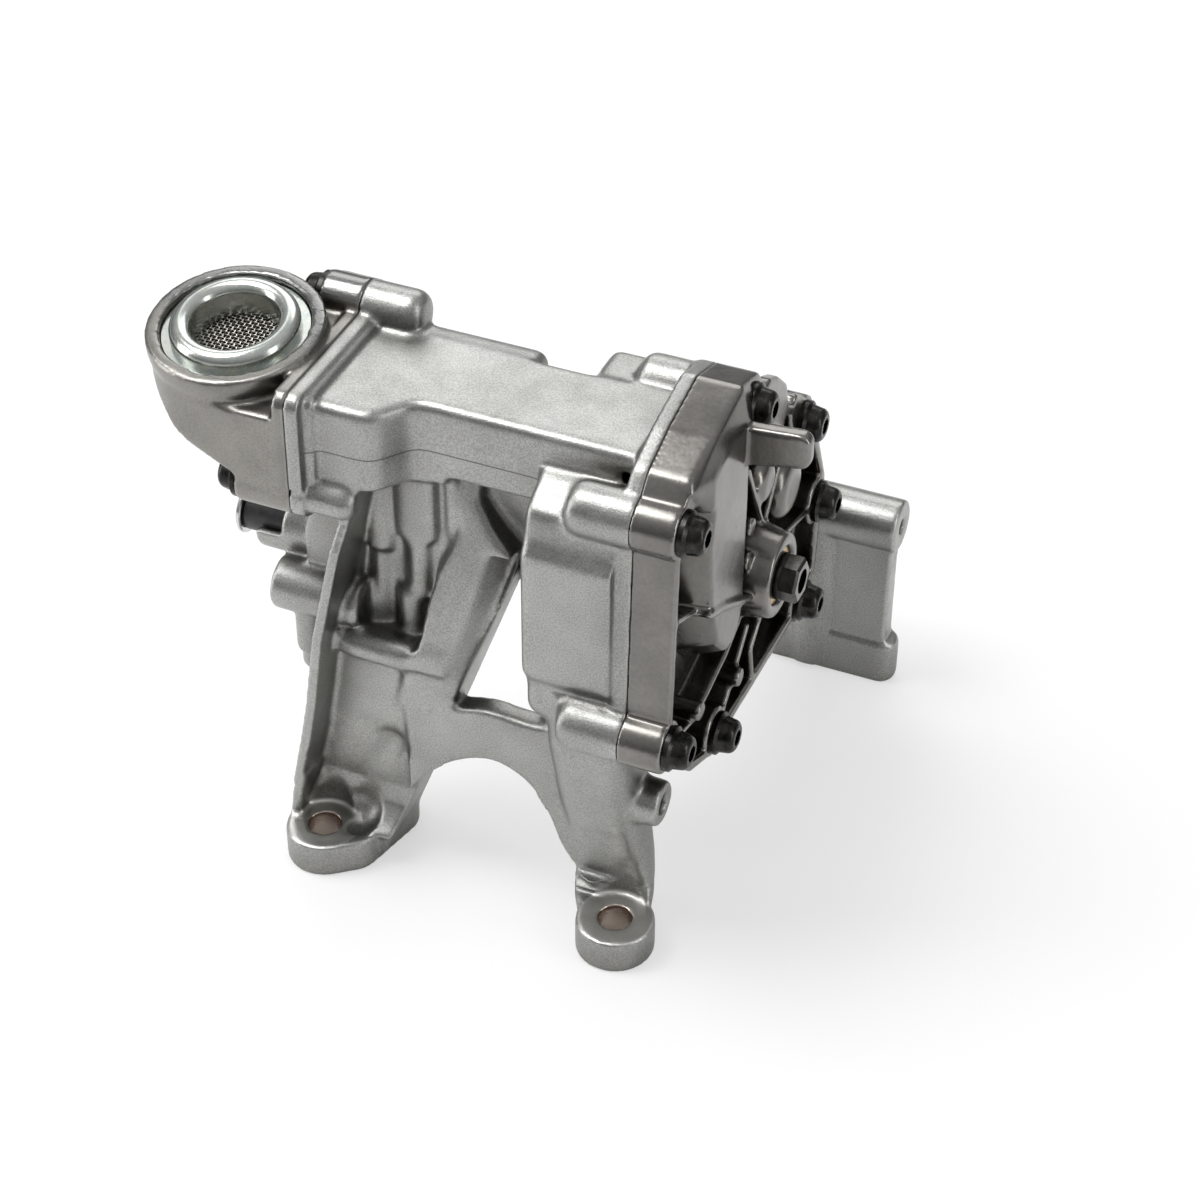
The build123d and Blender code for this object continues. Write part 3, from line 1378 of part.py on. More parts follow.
with BuildPart() as strainer_screen:
    with BuildSketch(ring_plane.offset(-screen_depth - 0.1)):
        with GridLocations(screen_pitch, 0, screen_count, 1):
            Rectangle(screen_wire, 2 * sleeve_bore_radius)
        with GridLocations(0, screen_pitch, 1, screen_count):
            Rectangle(2 * sleeve_bore_radius, screen_wire)
        Circle(sleeve_bore_radius, mode=Mode.INTERSECT)
        with BuildSketch(mode=Mode.ADD):
            Circle(screen_ring_radius)
            Circle(sleeve_bore_radius - 0.3, mode=Mode.SUBTRACT)
    extrude(amount=-screen_thickness)

# Labels and files
housing.part.label = "housing"
export_step(housing.part, "parts/housing.step")
pump_cover.part.label = "pump_cover"
export_step(pump_cover.part, "parts/pump_cover.step")
drive_shaft.part.label = "drive_shaft"
export_step(drive_shaft.part, "parts/drive_shaft.step")
shaft_key.part.label = "shaft_key"
export_step(shaft_key.part, "parts/shaft_key.step")
inner_rotor.part.label = "inner_rotor"
export_step(inner_rotor.part, "parts/inner_rotor.step")
outer_rotor.part.label = "outer_rotor"
export_step(outer_rotor.part, "parts/outer_rotor.step")
front_bush.part.label = "front_bush"
export_step(front_bush.part, "parts/front_bush.step")
rear_bush.part.label = "rear_bush"
export_step(rear_bush.part, "parts/rear_bush.step")
cover_screws.part.label = "cover_screws"
export_step(cover_screws.part, "parts/cover_screws.step")
cover_sleeves.part.label = "cover_sleeves"
export_step(cover_sleeves.part, "parts/cover_sleeves.step")
foot_dowel.part.label = "foot_dowel"
export_step(foot_dowel.part, "parts/foot_dowel.step")
relief_piston.part.label = "relief_piston"
export_step(relief_piston.part, "parts/relief_piston.step")
relief_spring.part.label = "relief_spring"
export_step(relief_spring.part, "parts/relief_spring.step")
valve_stem.part.label = "valve_stem"
export_step(valve_stem.part, "parts/valve_stem.step")
valve_seal.part.label = "valve_seal"
export_step(valve_seal.part, "parts/valve_seal.step")
valve_collar.part.label = "valve_collar"
export_step(valve_collar.part, "parts/valve_collar.step")
valve_cap.part.label = "valve_cap"
export_step(valve_cap.part, "parts/valve_cap.step")
gallery_plug.part.label = "gallery_plug"
export_step(gallery_plug.part, "parts/gallery_plug.step")
pickup_body.part.label = "pickup_body"
export_step(pickup_body.part, "parts/pickup_body.step")
pickup_screws.part.label = "pickup_screws"
export_step(pickup_screws.part, "parts/pickup_screws.step")
pickup_seal.part.label = "pickup_seal"
export_step(pickup_seal.part, "parts/pickup_seal.step")
strainer_sleeve.part.label = "strainer_sleeve"
export_step(strainer_sleeve.part, "parts/strainer_sleeve.step")
strainer_screen.part.label = "strainer_screen"
export_step(strainer_screen.part, "parts/strainer_screen.step")
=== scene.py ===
import json
from math import cos, pi, radians, sin

import bmesh
import bpy
from mathutils import Matrix, Vector


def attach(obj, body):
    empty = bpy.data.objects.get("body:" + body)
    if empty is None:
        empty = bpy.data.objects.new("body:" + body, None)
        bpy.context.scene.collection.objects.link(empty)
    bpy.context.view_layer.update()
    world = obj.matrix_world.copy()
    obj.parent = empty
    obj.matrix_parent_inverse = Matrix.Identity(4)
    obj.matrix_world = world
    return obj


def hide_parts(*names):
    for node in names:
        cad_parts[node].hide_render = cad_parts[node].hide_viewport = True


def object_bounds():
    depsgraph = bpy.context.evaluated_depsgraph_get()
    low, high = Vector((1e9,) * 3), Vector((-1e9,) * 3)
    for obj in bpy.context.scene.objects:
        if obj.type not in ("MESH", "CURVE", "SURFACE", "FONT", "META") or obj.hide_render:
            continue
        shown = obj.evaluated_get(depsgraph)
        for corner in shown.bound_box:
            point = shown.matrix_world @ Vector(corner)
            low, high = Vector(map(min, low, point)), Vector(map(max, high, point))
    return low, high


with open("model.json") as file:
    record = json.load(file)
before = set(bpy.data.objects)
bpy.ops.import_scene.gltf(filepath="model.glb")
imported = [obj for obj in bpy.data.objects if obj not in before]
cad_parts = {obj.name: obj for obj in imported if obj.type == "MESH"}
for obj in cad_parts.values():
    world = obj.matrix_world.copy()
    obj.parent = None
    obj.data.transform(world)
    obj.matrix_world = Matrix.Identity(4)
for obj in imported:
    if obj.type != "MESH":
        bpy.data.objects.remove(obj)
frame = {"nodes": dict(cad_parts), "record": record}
cad_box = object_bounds()
bpy.context.scene.view_settings.view_transform = "Standard"
nodes = frame["nodes"]

# Camera, in metres and degrees, from the fit to the photograph
camera_place = (0.20928, -0.65836, 0.54235)
camera_turn = 22.693
camera_rise = 38.641
camera_roll = 0.381
focal_ratio = 2.424
sensor_width = 36.0

# Finish sizes, in metres
cast_grain = 0.0005
cast_voxel = 0.0008
cover_voxel = 0.0006
ground_z = cad_box[0][2]

# Machined places that the cast fillets leave crisp, in metres
pad_top_z = -0.0941
joint_x = -0.0285
left_flange_x = -0.1346
foot_spots = [(-0.0326, -0.0661), (-0.1343, -0.0634)]
foot_bore_radius = 0.00525
spot_face_radius = 0.0118
pad_radius = 0.0145
rim_turned_z = 0.0768
rim_crisp_z = 0.0735

# The duct and the parting line along it, in metres
duct_low_z = 0.040
duct_top_z = 0.0715
duct_left_x = -0.126
duct_back_y = -0.012
parting_z = 0.0544
body_back_x = -0.062
left_leg_x = -0.130

# Where the legs end at the right and at the back, in metres
leg_right_x = -0.036
leg_back_y = -0.036


def add_node(tree, kind, **values):
    """A shader node with its plain settings and input values set."""
    node = tree.nodes.new(kind)
    for name, value in values.items():
        if name in node.inputs:
            node.inputs[name].default_value = value
        else:
            setattr(node, name, value)
    return node


def new_material(name):
    """An empty material and its main shader."""
    material = bpy.data.materials.new(name)
    material.use_nodes = True
    tree = material.node_tree
    tree.nodes.clear()
    output = tree.nodes.new("ShaderNodeOutputMaterial")
    shader = tree.nodes.new("ShaderNodeBsdfPrincipled")
    tree.links.new(shader.outputs[0], output.inputs[0])
    return material, tree, shader


def noise(tree, size, detail=3.0, roughness=0.55):
    """Noise in object space whose lumps are about size metres across."""
    place = tree.nodes.new("ShaderNodeTexCoord")
    texture = add_node(tree, "ShaderNodeTexNoise", Scale=1.0 / size, Detail=detail, Roughness=roughness)
    tree.links.new(place.outputs["Object"], texture.inputs["Vector"])
    return texture.outputs["Fac"]


def ramp(tree, source, low, high, start=0.3, end=0.7):
    """Colour that runs from low to high as source goes from start to end."""
    node = tree.nodes.new("ShaderNodeValToRGB")
    node.color_ramp.elements[0].position = start
    node.color_ramp.elements[0].color = (*low, 1.0)
    node.color_ramp.elements[1].position = end
    node.color_ramp.elements[1].color = (*high, 1.0)
    tree.links.new(source, node.inputs["Fac"])
    return node.outputs["Color"]


def span(tree, source, low, high, start=0.0, end=1.0):
    """Number that runs from low to high as source goes from start to end."""
    node = add_node(tree, "ShaderNodeMapRange")
    node.inputs["From Min"].default_value = start
    node.inputs["From Max"].default_value = end
    node.inputs["To Min"].default_value = low
    node.inputs["To Max"].default_value = high
    tree.links.new(source, node.inputs["Value"])
    return node.outputs["Result"]


def mix_colour(tree, factor, first, second, blend="MIX"):
    """Two colours mixed by factor."""
    node = tree.nodes.new("ShaderNodeMix")
    node.data_type = "RGBA"
    node.blend_type = blend
    if isinstance(factor, float):
        node.inputs[0].default_value = factor
    else:
        tree.links.new(factor, node.inputs[0])
    for socket, value in ((node.inputs[6], first), (node.inputs[7], second)):
        if isinstance(value, tuple):
            socket.default_value = (*value, 1.0)
        else:
            tree.links.new(value, socket)
    return node.outputs[2]


def bump(tree, shader, *layers):
    """Stacks bump layers, each a source, a strength and a depth in metres."""
    last = None
    for source, strength, depth in layers:
        node = add_node(tree, "ShaderNodeBump", Strength=strength, Distance=depth)
        tree.links.new(source, node.inputs["Height"])
        if last:
            tree.links.new(last, node.inputs["Normal"])
        last = node.outputs["Normal"]
    tree.links.new(last, shader.inputs["Normal"])


def coordinate(tree, axis):
    """One coordinate of the object's own space, in metres."""
    place = tree.nodes.new("ShaderNodeTexCoord")
    split = tree.nodes.new("ShaderNodeSeparateXYZ")
    tree.links.new(place.outputs["Object"], split.inputs[0])
    return split.outputs[axis]


def maths(tree, operation, first, second=None):
    """One arithmetic step on numbers or sockets."""
    node = add_node(tree, "ShaderNodeMath", operation=operation)
    for socket, value in zip(node.inputs, (first, second)):
        if isinstance(value, float):
            socket.default_value = value
        elif value is not None:
            tree.links.new(value, socket)
    return node.outputs[0]


def around(tree, x, y, radius, edge=0.0004):
    """1 inside a vertical cylinder about a point, and 0 outside."""
    squares = []
    for axis, middle in (("X", x), ("Y", y)):
        away = maths(tree, "SUBTRACT", coordinate(tree, axis), middle)
        squares.append(maths(tree, "MULTIPLY", away, away))
    reach = maths(tree, "SQRT", maths(tree, "ADD", *squares))
    return span(tree, reach, 1.0, 0.0, radius, radius + edge)


def around_feet(tree, radius):
    """1 inside a vertical cylinder about either foot's bore, and 0 outside."""
    first, second = [around(tree, x, y, radius) for x, y in foot_spots]
    return maths(tree, "MAXIMUM", first, second)


def cast_metal(name, dark, light, rough, grain, grain_strength, sparkle, machined=None, machined_and_sheen_tone=None, marks=()):
    """Die-cast aluminium: fine grain, cloudy tone, bright edges, painted shade in recesses, marks with a tone each,
    and machined places.
    """
    material, tree, shader = new_material(name)
    shader.inputs["Metallic"].default_value = 1.0
    clouds = ramp(tree, noise(tree, 0.022, 4.0), dark, light, 0.25, 0.75)
    speckle = ramp(tree, noise(tree, grain, 3.0), (sparkle, sparkle, sparkle), (1.0, 1.0, 1.0), 0.35, 0.62)
    tone = mix_colour(tree, 1.0, clouds, speckle, "MULTIPLY")
    edge = tree.nodes.new("ShaderNodeNewGeometry").outputs["Pointiness"]
    tone = mix_colour(tree, span(tree, edge, 0.0, 0.35, 0.52, 0.60), tone, (0.86, 0.86, 0.84))
    # Painted shade: the tone is darkened where ambient occlusion finds nearby surfaces, in recesses, corners and
    # between parts
    shade = add_node(tree, "ShaderNodeAmbientOcclusion", samples=4, Distance=0.022)
    painted_recess_shade = ramp(tree, shade.outputs["AO"], (0.50, 0.49, 0.47), (1.0, 1.0, 1.0), 0.25, 0.95)
    tone = mix_colour(tree, 1.0, tone, painted_recess_shade, "MULTIPLY")
    for mark, mark_tone in marks:
        tone = mix_colour(tree, mark(tree), tone, mark_tone)
    roughness = span(tree, noise(tree, 0.008), rough * 0.85, rough * 1.15, 0.3, 0.7)
    # The machined places' tone: the pickup's turned rim, and on the housing the foot bores, whose light brown tone is
    # a painted reflection
    if machined:
        mask = machined(tree)
        tone = mix_colour(tree, mask, tone, machined_and_sheen_tone)
        blend = tree.nodes.new("ShaderNodeMix")
        tree.links.new(mask, blend.inputs[0])
        tree.links.new(roughness, blend.inputs[2])
        blend.inputs[3].default_value = 0.22
        roughness = blend.outputs[0]
    tree.links.new(tone, shader.inputs["Base Color"])
    tree.links.new(roughness, shader.inputs["Roughness"])
    bump(tree, shader, (noise(tree, grain, 3.0), grain_strength, 0.00016), (noise(tree, 0.006), 0.10, 0.0006))
    return material


def foot_bore_sheen(tree):
    """The walls of the two foot bores, below the pads' tops, whose light brown tone is a painted reflection on the
    machined walls.
    """
    either = around_feet(tree, foot_bore_radius + 0.0003)
    below = span(tree, coordinate(tree, "Z"), 1.0, 0.0, pad_top_z - 0.0003, pad_top_z)
    return maths(tree, "MULTIPLY", either, below)


def spot_faces(tree):
    """The flat tops of the two pads, which are turned and lie in the round walls' shade."""
    either = around_feet(tree, spot_face_radius)
    level_z = coordinate(tree, "Z")
    low = span(tree, level_z, 0.0, 0.6, pad_top_z - 0.0008, pad_top_z - 0.0004)
    high = span(tree, level_z, 1.0, 0.0, pad_top_z + 0.0006, pad_top_z + 0.0016)
    return maths(tree, "MULTIPLY", either, maths(tree, "MULTIPLY", low, high))


def parting_line_shade(tree):
    """The fine line between the casting's halves, along the duct, painted dark as the shade of its small step."""
    low = span(tree, coordinate(tree, "Z"), 0.0, 1.0, parting_z - 0.0004, parting_z - 0.0001)
    high = span(tree, coordinate(tree, "Z"), 1.0, 0.0, parting_z + 0.0001, parting_z + 0.0004)
    left = span(tree, coordinate(tree, "X"), 1.0, 0.0, body_back_x - 0.002, body_back_x)
    right = span(tree, coordinate(tree, "X"), 0.0, 1.0, left_leg_x - 0.0002, left_leg_x)
    across = maths(tree, "MULTIPLY", left, right)
    return maths(tree, "MULTIPLY", maths(tree, "MULTIPLY", low, high), across)


def pickup_rim(tree):
    """The turned rim round the strainer."""
    return span(tree, coordinate(tree, "Z"), 0.0, 1.0, rim_turned_z, rim_turned_z + 0.0003)


def steel(name, dark, light, roughness, streak=0.0006, strength=0.05):
    """Turned or ground steel with fine marks."""
    material, tree, shader = new_material(name)
    shader.inputs["Metallic"].default_value = 1.0
    tree.links.new(ramp(tree, noise(tree, 0.003), dark, light), shader.inputs["Base Color"])
    tree.links.new(span(tree, noise(tree, streak), roughness * 0.8, roughness * 1.25, 0.3, 0.7),
                   shader.inputs["Roughness"])
    bump(tree, shader, (noise(tree, streak, 4.0), strength, 0.0001))
    return material


def dull(name, dark, light, roughness):
    """Rubber or plastic with a fine moulded grain."""
    material, tree, shader = new_material(name)
    tree.links.new(ramp(tree, noise(tree, 0.002), dark, light), shader.inputs["Base Color"])
    tree.links.new(span(tree, noise(tree, 0.0008), roughness * 0.85, roughness * 1.1, 0.3, 0.7),
                   shader.inputs["Roughness"])
    bump(tree, shader, (noise(tree, 0.0004), 0.15, 0.0001))
    return material


# The parting line's dark tone is painted shade; the spot faces' light tone is their turned finish
housing_marks = ((parting_line_shade, (0.13, 0.128, 0.12)), (spot_faces, (0.80, 0.79, 0.76)))
finishes = {
    # The housing's foot bores get a light brown tone that is a painted reflection
    "cast_housing": cast_metal("cast_housing", (0.35, 0.35, 0.335), (0.46, 0.46, 0.445), 0.36, cast_grain, 0.55, 0.66,
                               foot_bore_sheen, (0.44, 0.37, 0.32), housing_marks),
    "cast_cover": cast_metal("cast_cover", (0.16, 0.155, 0.145), (0.25, 0.24, 0.225), 0.25, 0.0012, 0.12, 0.90),
    "cast_pickup": cast_metal("cast_pickup", (0.20, 0.195, 0.18), (0.31, 0.30, 0.28), 0.33, cast_grain, 0.35, 0.78,
                              pickup_rim, (0.22, 0.22, 0.215)),
    "dark_steel": steel("dark_steel", (0.055, 0.052, 0.048), (0.12, 0.115, 0.105), 0.20),
    "black_steel": steel("black_steel", (0.012, 0.012, 0.012), (0.05, 0.048, 0.045), 0.28),
    "sintered_steel": steel("sintered_steel", (0.30, 0.30, 0.30), (0.42, 0.42, 0.42), 0.42),
    "plain_steel": steel("plain_steel", (0.55, 0.55, 0.55), (0.68, 0.68, 0.67), 0.22),
    "zinc_steel": steel("zinc_steel", (0.46, 0.50, 0.49), (0.56, 0.57, 0.52), 0.22),
    "wire_mesh": steel("wire_mesh", (0.36, 0.34, 0.31), (0.58, 0.56, 0.52), 0.30),
    "bush_bronze": steel("bush_bronze", (0.55, 0.38, 0.20), (0.68, 0.50, 0.30), 0.35),
    "black_rubber": dull("black_rubber", (0.010, 0.010, 0.010), (0.03, 0.03, 0.03), 0.6),
    "black_plastic": dull("black_plastic", (0.010, 0.010, 0.011), (0.028, 0.028, 0.03), 0.42),
}
slot_of = {part["node"]: part["material_slot"] for part in frame["record"]["subparts"]}


def dress(obj, slot):
    """Gives the object one material."""
    obj.data.materials.clear()
    obj.data.materials.append(finishes[slot])


for name, node in nodes.items():
    dress(node, slot_of[name])


def hull(points):
    """A closed mesh round the points."""
    shape = bmesh.new()
    for point in points:
        shape.verts.new(point)
    bmesh.ops.convex_hull(shape, input=shape.verts)
    mesh = bpy.data.meshes.new("hull")
    shape.to_mesh(mesh)
    shape.free()
    return mesh


def ball(place, radius, rings=10, sides=20):
    """Points on a ball."""
    points = []
    for ring in range(rings + 1):
        tilt = pi * ring / rings
        for side in range(sides):
            turn = 2 * pi * side / sides
            points.append((place[0] + radius * sin(tilt) * cos(turn), place[1] + radius * sin(tilt) * sin(turn),
                           place[2] + radius * cos(tilt)))
    return points


def disc(place, radius, sides=48):
    """Points on a level circle."""
    turns = [2 * pi * side / sides for side in range(sides)]
    return [(place[0] + radius * cos(turn), place[1] + radius * sin(turn), place[2]) for turn in turns]


def evaluated(piece):
    """The piece's mesh with its modifiers applied, which are then taken off."""
    bpy.context.view_layer.update()
    mesh = bpy.data.meshes.new_from_object(piece.evaluated_get(bpy.context.evaluated_depsgraph_get()))
    piece.modifiers.clear()
    piece.data = mesh
    return mesh


def shaped(piece, changes):
    """Adds meshes to the piece, or takes them out of it, in turn."""
    for operation, mesh in changes:
        tool = bpy.data.objects.new("tool", mesh)
        bpy.context.scene.collection.objects.link(tool)
        change = piece.modifiers.new("change", "BOOLEAN")
        change.operation = operation
        change.solver = "EXACT"
        change.object = tool
        evaluated(piece)
        bpy.data.objects.remove(tool)


def smoothed(piece, steps, chosen):
    """Rounds the chosen places of the piece."""
    group = piece.vertex_groups.new(name="soft")
    group.add([v.index for v in piece.data.vertices if chosen(v.co)], 1.0, "REPLACE")
    smooth = piece.modifiers.new("rounding", "SMOOTH")
    smooth.factor = 0.5
    smooth.iterations = steps
    smooth.vertex_group = group.name
    evaluated(piece)
    piece.vertex_groups.clear()


def softened(name, voxel, passes, changes=()):
    """A copy of a CAD node whose sharp edges are rounded like a casting's, in the passes' places."""
    piece = bpy.data.objects.new(name + "_cast", nodes[name].data.copy())
    bpy.context.scene.collection.objects.link(piece)
    shaped(piece, changes)
    remesh = piece.modifiers.new("voxels", "REMESH")
    remesh.mode = "VOXEL"
    remesh.voxel_size = voxel
    evaluated(piece)
    for steps, chosen in passes:
        smoothed(piece, steps, chosen)
    piece.data.shade_smooth()
    dress(piece, slot_of[name])
    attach(piece, "pump")
    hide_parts(name)
    return piece


def crisp_housing(point):
    """Near a foot's bore and pad, the joint face or the pickup's flange."""
    if point.x > joint_x - 0.0012 and point.z > -0.056:
        return True
    if point.x < left_flange_x + 0.0008 and point.z > 0.03:
        return True
    if point.z < ground_z + 0.0010:
        return True
    for x, y in foot_spots:
        near = (point.x - x) ** 2 + (point.y - y) ** 2 < (foot_bore_radius + 0.001) ** 2
        if near and point.z < pad_top_z + 0.001:
            return True
    return False


def crisp_cover(point):
    """Near the joint face."""
    return point.x < joint_x + 0.0009


def crisp_pickup(point):
    """Near the flange's face and the machined ring."""
    return point.x > left_flange_x - 0.0009 or point.z > rim_crisp_z


def soft_housing(point):
    """The housing's places with small cast fillets."""
    return not crisp_housing(point)


def soft_cover(point):
    """The cover's places with small cast fillets."""
    return not crisp_cover(point)


def soft_pickup(point):
    """The pickup's places with small cast fillets."""
    return not crisp_pickup(point)


def roomy_housing(point):
    """Places with wide cast fillets: the duct, the legs and the web, but not the fin or the feet's edges."""
    x, y, z = point
    for foot_x, foot_y in foot_spots:
        if z < -0.0915 and (x - foot_x) ** 2 + (y - foot_y) ** 2 < pad_radius ** 2:
            return False
    if z > duct_low_z:
        return duct_left_x < x < leg_right_x and y < duct_back_y and z < duct_top_z
    fin_x = -0.1283 + 0.19 * z
    if x < -0.060:
        return x > fin_x + 0.007 and y < leg_back_y and z > -0.062
    return y < leg_back_y and z > -0.091 and (x < leg_right_x or z < -0.030)


def level_box(xs, outline):
    """A convex prism along X, from its outline in Y and Z."""
    return hull([(x, y, z) for y, z in outline for x in xs])


def lofted(levels, operation):
    """Convex lengths between neighbouring levels, each a list of points."""
    return [(operation, hull(low + high)) for low, high in zip(levels, levels[1:])]


def level(z, xs, ys):
    """The corners of a level rectangle."""
    return [(x, y, z) for x in xs for y in ys]


def edge_corner(z, edge_x, front_y, size=0.0085, past=0.003):
    """A level triangle over the arm's right front edge."""
    corners = [(edge_x - size, front_y - 0.0002), (edge_x + 0.0002, front_y + size), (edge_x + past, front_y - past)]
    return [(x, y, z) for x, y in corners]


# The left foot: a skirt that runs out to the pad, the fin's end, the spot face and a leaning scoop
left_skirt = [
    level(-0.0660, (-0.1400, -0.1035), (-0.0530, -0.048)),
    level(-0.0815, (-0.1440, -0.1078), (-0.0523, -0.048)),
    level(-0.0865, (-0.1451, -0.1095), (-0.0545, -0.048)),
    level(-0.0905, (-0.1458, -0.1105), (-0.0585, -0.048)),
    level(-0.0941, (-0.1464, -0.1115), (-0.0635, -0.048)),
]
fin_end = hull(
    level(-0.0745, (-0.1425, -0.1385), (-0.0665, -0.050)) + level(-0.0945, (-0.1469, -0.1435), (-0.0628, -0.050)))
scoop = hull(ball((-0.1135, -0.0605, -0.0600), 0.0086) + ball((-0.1240, -0.0612, -0.0870), 0.0086))
(front_x, front_y), (left_x, left_y) = foot_spots
spot_depth = 0.0002
left_spot_radius = 0.0104
left_spot_top_z = -0.0800
front_spot_radius = 0.0111
front_spot_top_z = -0.0840
left_spot = hull(
    disc((left_x, left_y, pad_top_z - spot_depth), left_spot_radius)
    + disc((left_x, left_y, left_spot_top_z), left_spot_radius))

# The shelf's rounded edge and the arm's rounded front edge
shelf_outline = [(-0.0560, -0.0145), (-0.0560, -0.0250), (-0.075, -0.0250), (-0.075, -0.0145)]
shelf_corner = level_box((-0.1262, -0.1035), shelf_outline)
shelf_roll = hull(ball((-0.1235, -0.0553, -0.0212), 0.0056) + ball((-0.1065, -0.0553, -0.0212), 0.0056))
arm_edge = [
    edge_corner(0.020, -0.0736, -0.0498),
    edge_corner(-0.017, -0.0842, -0.0600),
    edge_corner(-0.030, -0.0889, -0.0578, 0.002),
]

# The front leg, which leans back above its foot
front_cuts = [
    [(-0.0598, -0.0660), (-0.0550, -0.0896)],
    [(-0.0550, -0.0896), (-0.0582, -0.0926)],
    [(-0.0582, -0.0926), (-0.0588, -0.0943)],
]
front_spot = hull(
    disc((front_x, front_y, pad_top_z - spot_depth), front_spot_radius)
    + disc((front_x, front_y, front_spot_top_z), front_spot_radius))

# The body's filled corner above the front leg
body_corner = level_box(
    (-0.0600, -0.0335), [(-0.050, 0.040), (-0.0655, 0.040), (-0.0655, 0.052), (-0.059, 0.0585), (-0.050, 0.0585)])

# The order counts: the fin's end goes back over the spot face
housing_changes = lofted(left_skirt, "UNION") + [("DIFFERENCE", left_spot), ("UNION", fin_end), ("DIFFERENCE", scoop)]
housing_changes += [("DIFFERENCE", shelf_corner), ("UNION", shelf_roll)] + lofted(arm_edge, "DIFFERENCE")
for (top_y, top_z), (low_y, low_z) in front_cuts:
    outline = [(top_y, top_z), (low_y, low_z), (-0.085, low_z), (-0.085, top_z)]
    housing_changes.append(("DIFFERENCE", level_box((-0.058, -0.015), outline)))
housing_changes += [("DIFFERENCE", front_spot), ("UNION", body_corner)]

softened("housing", cast_voxel, [(10, soft_housing), (30, roomy_housing)], housing_changes)
softened("pump_cover", cover_voxel, [(12, soft_cover)])
softened("pickup_body", cast_voxel, [(8, soft_pickup)])

# Woven screen in place of the flat one
screen_normal = Vector((-0.01, -0.15, 0.99)).normalized()
screen_pitch = 0.0013
wire_radius = 0.00024
wire_wave = 0.0002
screen_reach = 0.0150
wire_steps = 4
wire_sides = 6


def woven_screen():
    """Two sets of wavy wires that pass over and under each other."""
    old = nodes["strainer_screen"]
    low, high = [Vector([pick(v.co[i] for v in old.data.vertices) for i in range(3)]) for pick in (min, max)]
    centre = (low + high) / 2
    first = Vector((1, 0, 0)).cross(screen_normal).cross(screen_normal).normalized()
    second = screen_normal.cross(first)
    points, faces = [], []
    count = int(screen_reach / screen_pitch)
    for along, across, phase in ((first, second, 0), (second, first, 1)):
        for row in range(-count, count + 1):
            offset = row * screen_pitch
            half = (screen_reach ** 2 - offset ** 2) ** 0.5
            steps = int(2 * half / screen_pitch) * wire_steps
            start = len(points)
            for step in range(steps + 1):
                reach = -half + 2 * half * step / steps
                wave = wire_wave * cos(pi * (reach / screen_pitch + row + phase))
                middle = centre + along * reach + across * offset + screen_normal * wave
                for side in range(wire_sides):
                    turn = 2 * pi * side / wire_sides
                    points.append(middle + wire_radius * (cos(turn) * across + sin(turn) * screen_normal))
            for step in range(steps):
                for side in range(wire_sides):
                    a = start + step * wire_sides + side
                    b = start + step * wire_sides + (side + 1) % wire_sides
                    faces.append((a, b, b + wire_sides, a + wire_sides))
    mesh = bpy.data.meshes.new("woven_screen")
    mesh.from_pydata(points, [], faces)
    mesh.shade_smooth()
    piece = bpy.data.objects.new("woven_screen", mesh)
    bpy.context.scene.collection.objects.link(piece)
    dress(piece, "wire_mesh")
    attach(piece, "pump")
    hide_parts("strainer_screen")


woven_screen()

# Camera
turn, rise, roll = radians(camera_turn), radians(camera_rise), radians(camera_roll)
towards = Vector((sin(turn) * cos(rise), -cos(turn) * cos(rise), sin(rise)))
right = Vector((cos(turn), sin(turn), 0))
up = towards.cross(right)
rolled_right = cos(roll) * right + sin(roll) * up
rolled_up = cos(roll) * up - sin(roll) * right
lens = bpy.data.cameras.new("camera")
lens.sensor_width = sensor_width
lens.lens = focal_ratio * sensor_width
lens.clip_start = 0.01
camera = bpy.data.objects.new("camera", lens)
camera.matrix_world = Matrix((
    (rolled_right.x, rolled_up.x, towards.x, camera_place[0]),
    (rolled_right.y, rolled_up.y, towards.y, camera_place[1]),
    (rolled_right.z, rolled_up.z, towards.z, camera_place[2]),
    (0, 0, 0, 1),
))
bpy.context.scene.collection.objects.link(camera)
bpy.context.scene.camera = camera


def seen_directly(tree, mirror_share):
    """1 for camera and glass rays, which see the white studio, and a share of it for mirror rays."""
    path = tree.nodes.new("ShaderNodeLightPath")
    clear = maths(tree, "MAXIMUM", path.outputs["Is Camera Ray"], path.outputs["Is Transmission Ray"])
    mirror = maths(tree, "MULTIPLY", path.outputs["Is Glossy Ray"], mirror_share)
    return maths(tree, "MAXIMUM", clear, mirror)


# Floor that stays white but keeps the object's shadow
floor_size = 6.0
floor_white = 0.55
floor_mirror = 0.30
floor_mesh = bpy.data.meshes.new("floor")
corners = [(-1, -1), (1, -1), (1, 1), (-1, 1)]
floor_mesh.from_pydata([(x * floor_size, y * floor_size, ground_z) for x, y in corners], [], [(0, 1, 2, 3)])
floor = bpy.data.objects.new("floor", floor_mesh)
bpy.context.scene.collection.objects.link(floor)
floor_material = bpy.data.materials.new("floor")
floor_material.use_nodes = True
tree = floor_material.node_tree
tree.nodes.clear()
output = tree.nodes.new("ShaderNodeOutputMaterial")
paper = add_node(tree, "ShaderNodeBsdfDiffuse", Color=(0.92, 0.92, 0.92, 1))
glow = add_node(tree, "ShaderNodeEmission", Color=(1, 1, 1, 1), Strength=1.0)
direct = seen_directly(tree, floor_mirror)
share = maths(tree, "MULTIPLY", direct, floor_white)
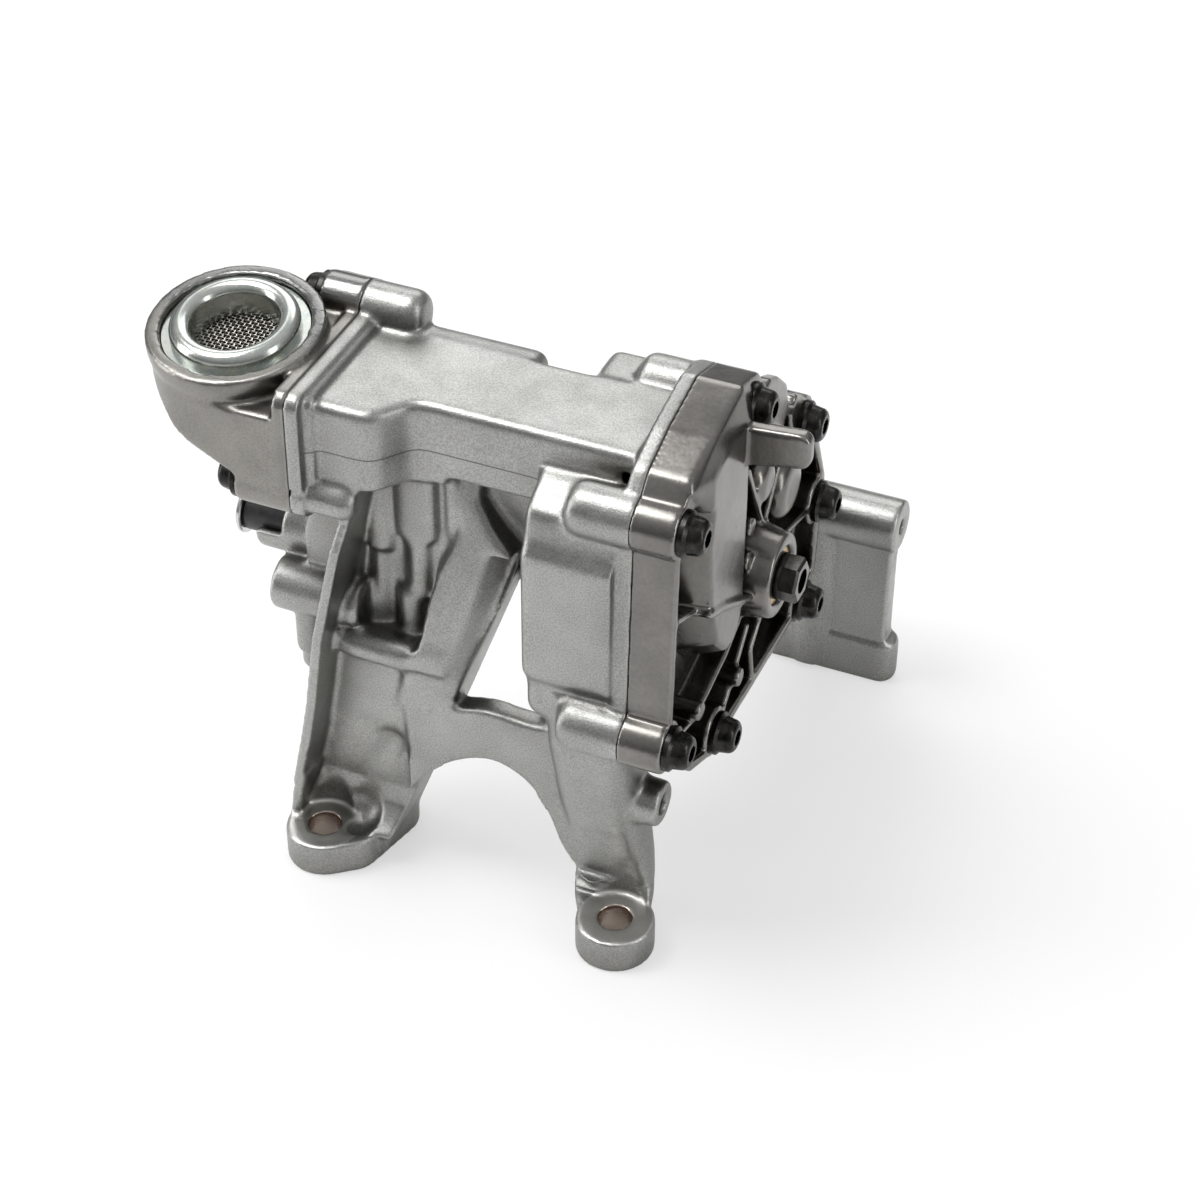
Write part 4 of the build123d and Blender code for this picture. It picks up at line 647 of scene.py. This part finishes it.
blend = tree.nodes.new("ShaderNodeMixShader")
tree.links.new(share, blend.inputs[0])
tree.links.new(paper.outputs[0], blend.inputs[1])
tree.links.new(glow.outputs[0], blend.inputs[2])
tree.links.new(blend.outputs[0], output.inputs[0])
floor_mesh.materials.append(floor_material)

# World: white to the camera, and a soft studio gradient for everything else
world_mirror = 0.15
world = bpy.data.worlds.new("studio")
bpy.context.scene.world = world
world.use_nodes = True
tree = world.node_tree
tree.nodes.clear()
output = tree.nodes.new("ShaderNodeOutputWorld")
place = tree.nodes.new("ShaderNodeTexCoord")
split = tree.nodes.new("ShaderNodeSeparateXYZ")
tree.links.new(place.outputs["Generated"], split.inputs[0])
shade = ramp(tree, split.outputs["Z"], (0.10, 0.10, 0.105), (0.80, 0.80, 0.80), 0.10, 0.90)
soft = add_node(tree, "ShaderNodeBackground", Strength=0.8)
tree.links.new(shade, soft.inputs["Color"])
white = add_node(tree, "ShaderNodeBackground", Strength=1.0)
direct = seen_directly(tree, world_mirror)
blend = tree.nodes.new("ShaderNodeMixShader")
tree.links.new(direct, blend.inputs[0])
tree.links.new(soft.outputs[0], blend.inputs[1])
tree.links.new(white.outputs[0], blend.inputs[2])
tree.links.new(blend.outputs[0], output.inputs[0])


def soft_box(name, place, target, size, power):
    """A square area lamp that faces its target."""
    data = bpy.data.lights.new(name, "AREA")
    data.shape = "RECTANGLE"
    data.size, data.size_y = size
    data.energy = power
    lamp = bpy.data.objects.new(name, data)
    bpy.context.scene.collection.objects.link(lamp)
    lamp.location = place
    lamp.rotation_euler = (Vector(place) - Vector(target)).to_track_quat("Z", "Y").to_euler()
    return lamp


middle = (-0.07, -0.02, 0.0)
soft_box("key", (-0.55, -0.15, 1.05), middle, (0.6, 0.6), 9.0)
soft_box("side", (-1.05, -0.45, 0.30), middle, (0.35, 0.9), 4.0)
soft_box("right", (0.95, -0.15, 0.40), middle, (0.20, 0.9), 3.0)
soft_box("back", (-0.40, 0.95, 0.80), middle, (1.0, 0.6), 4.2)
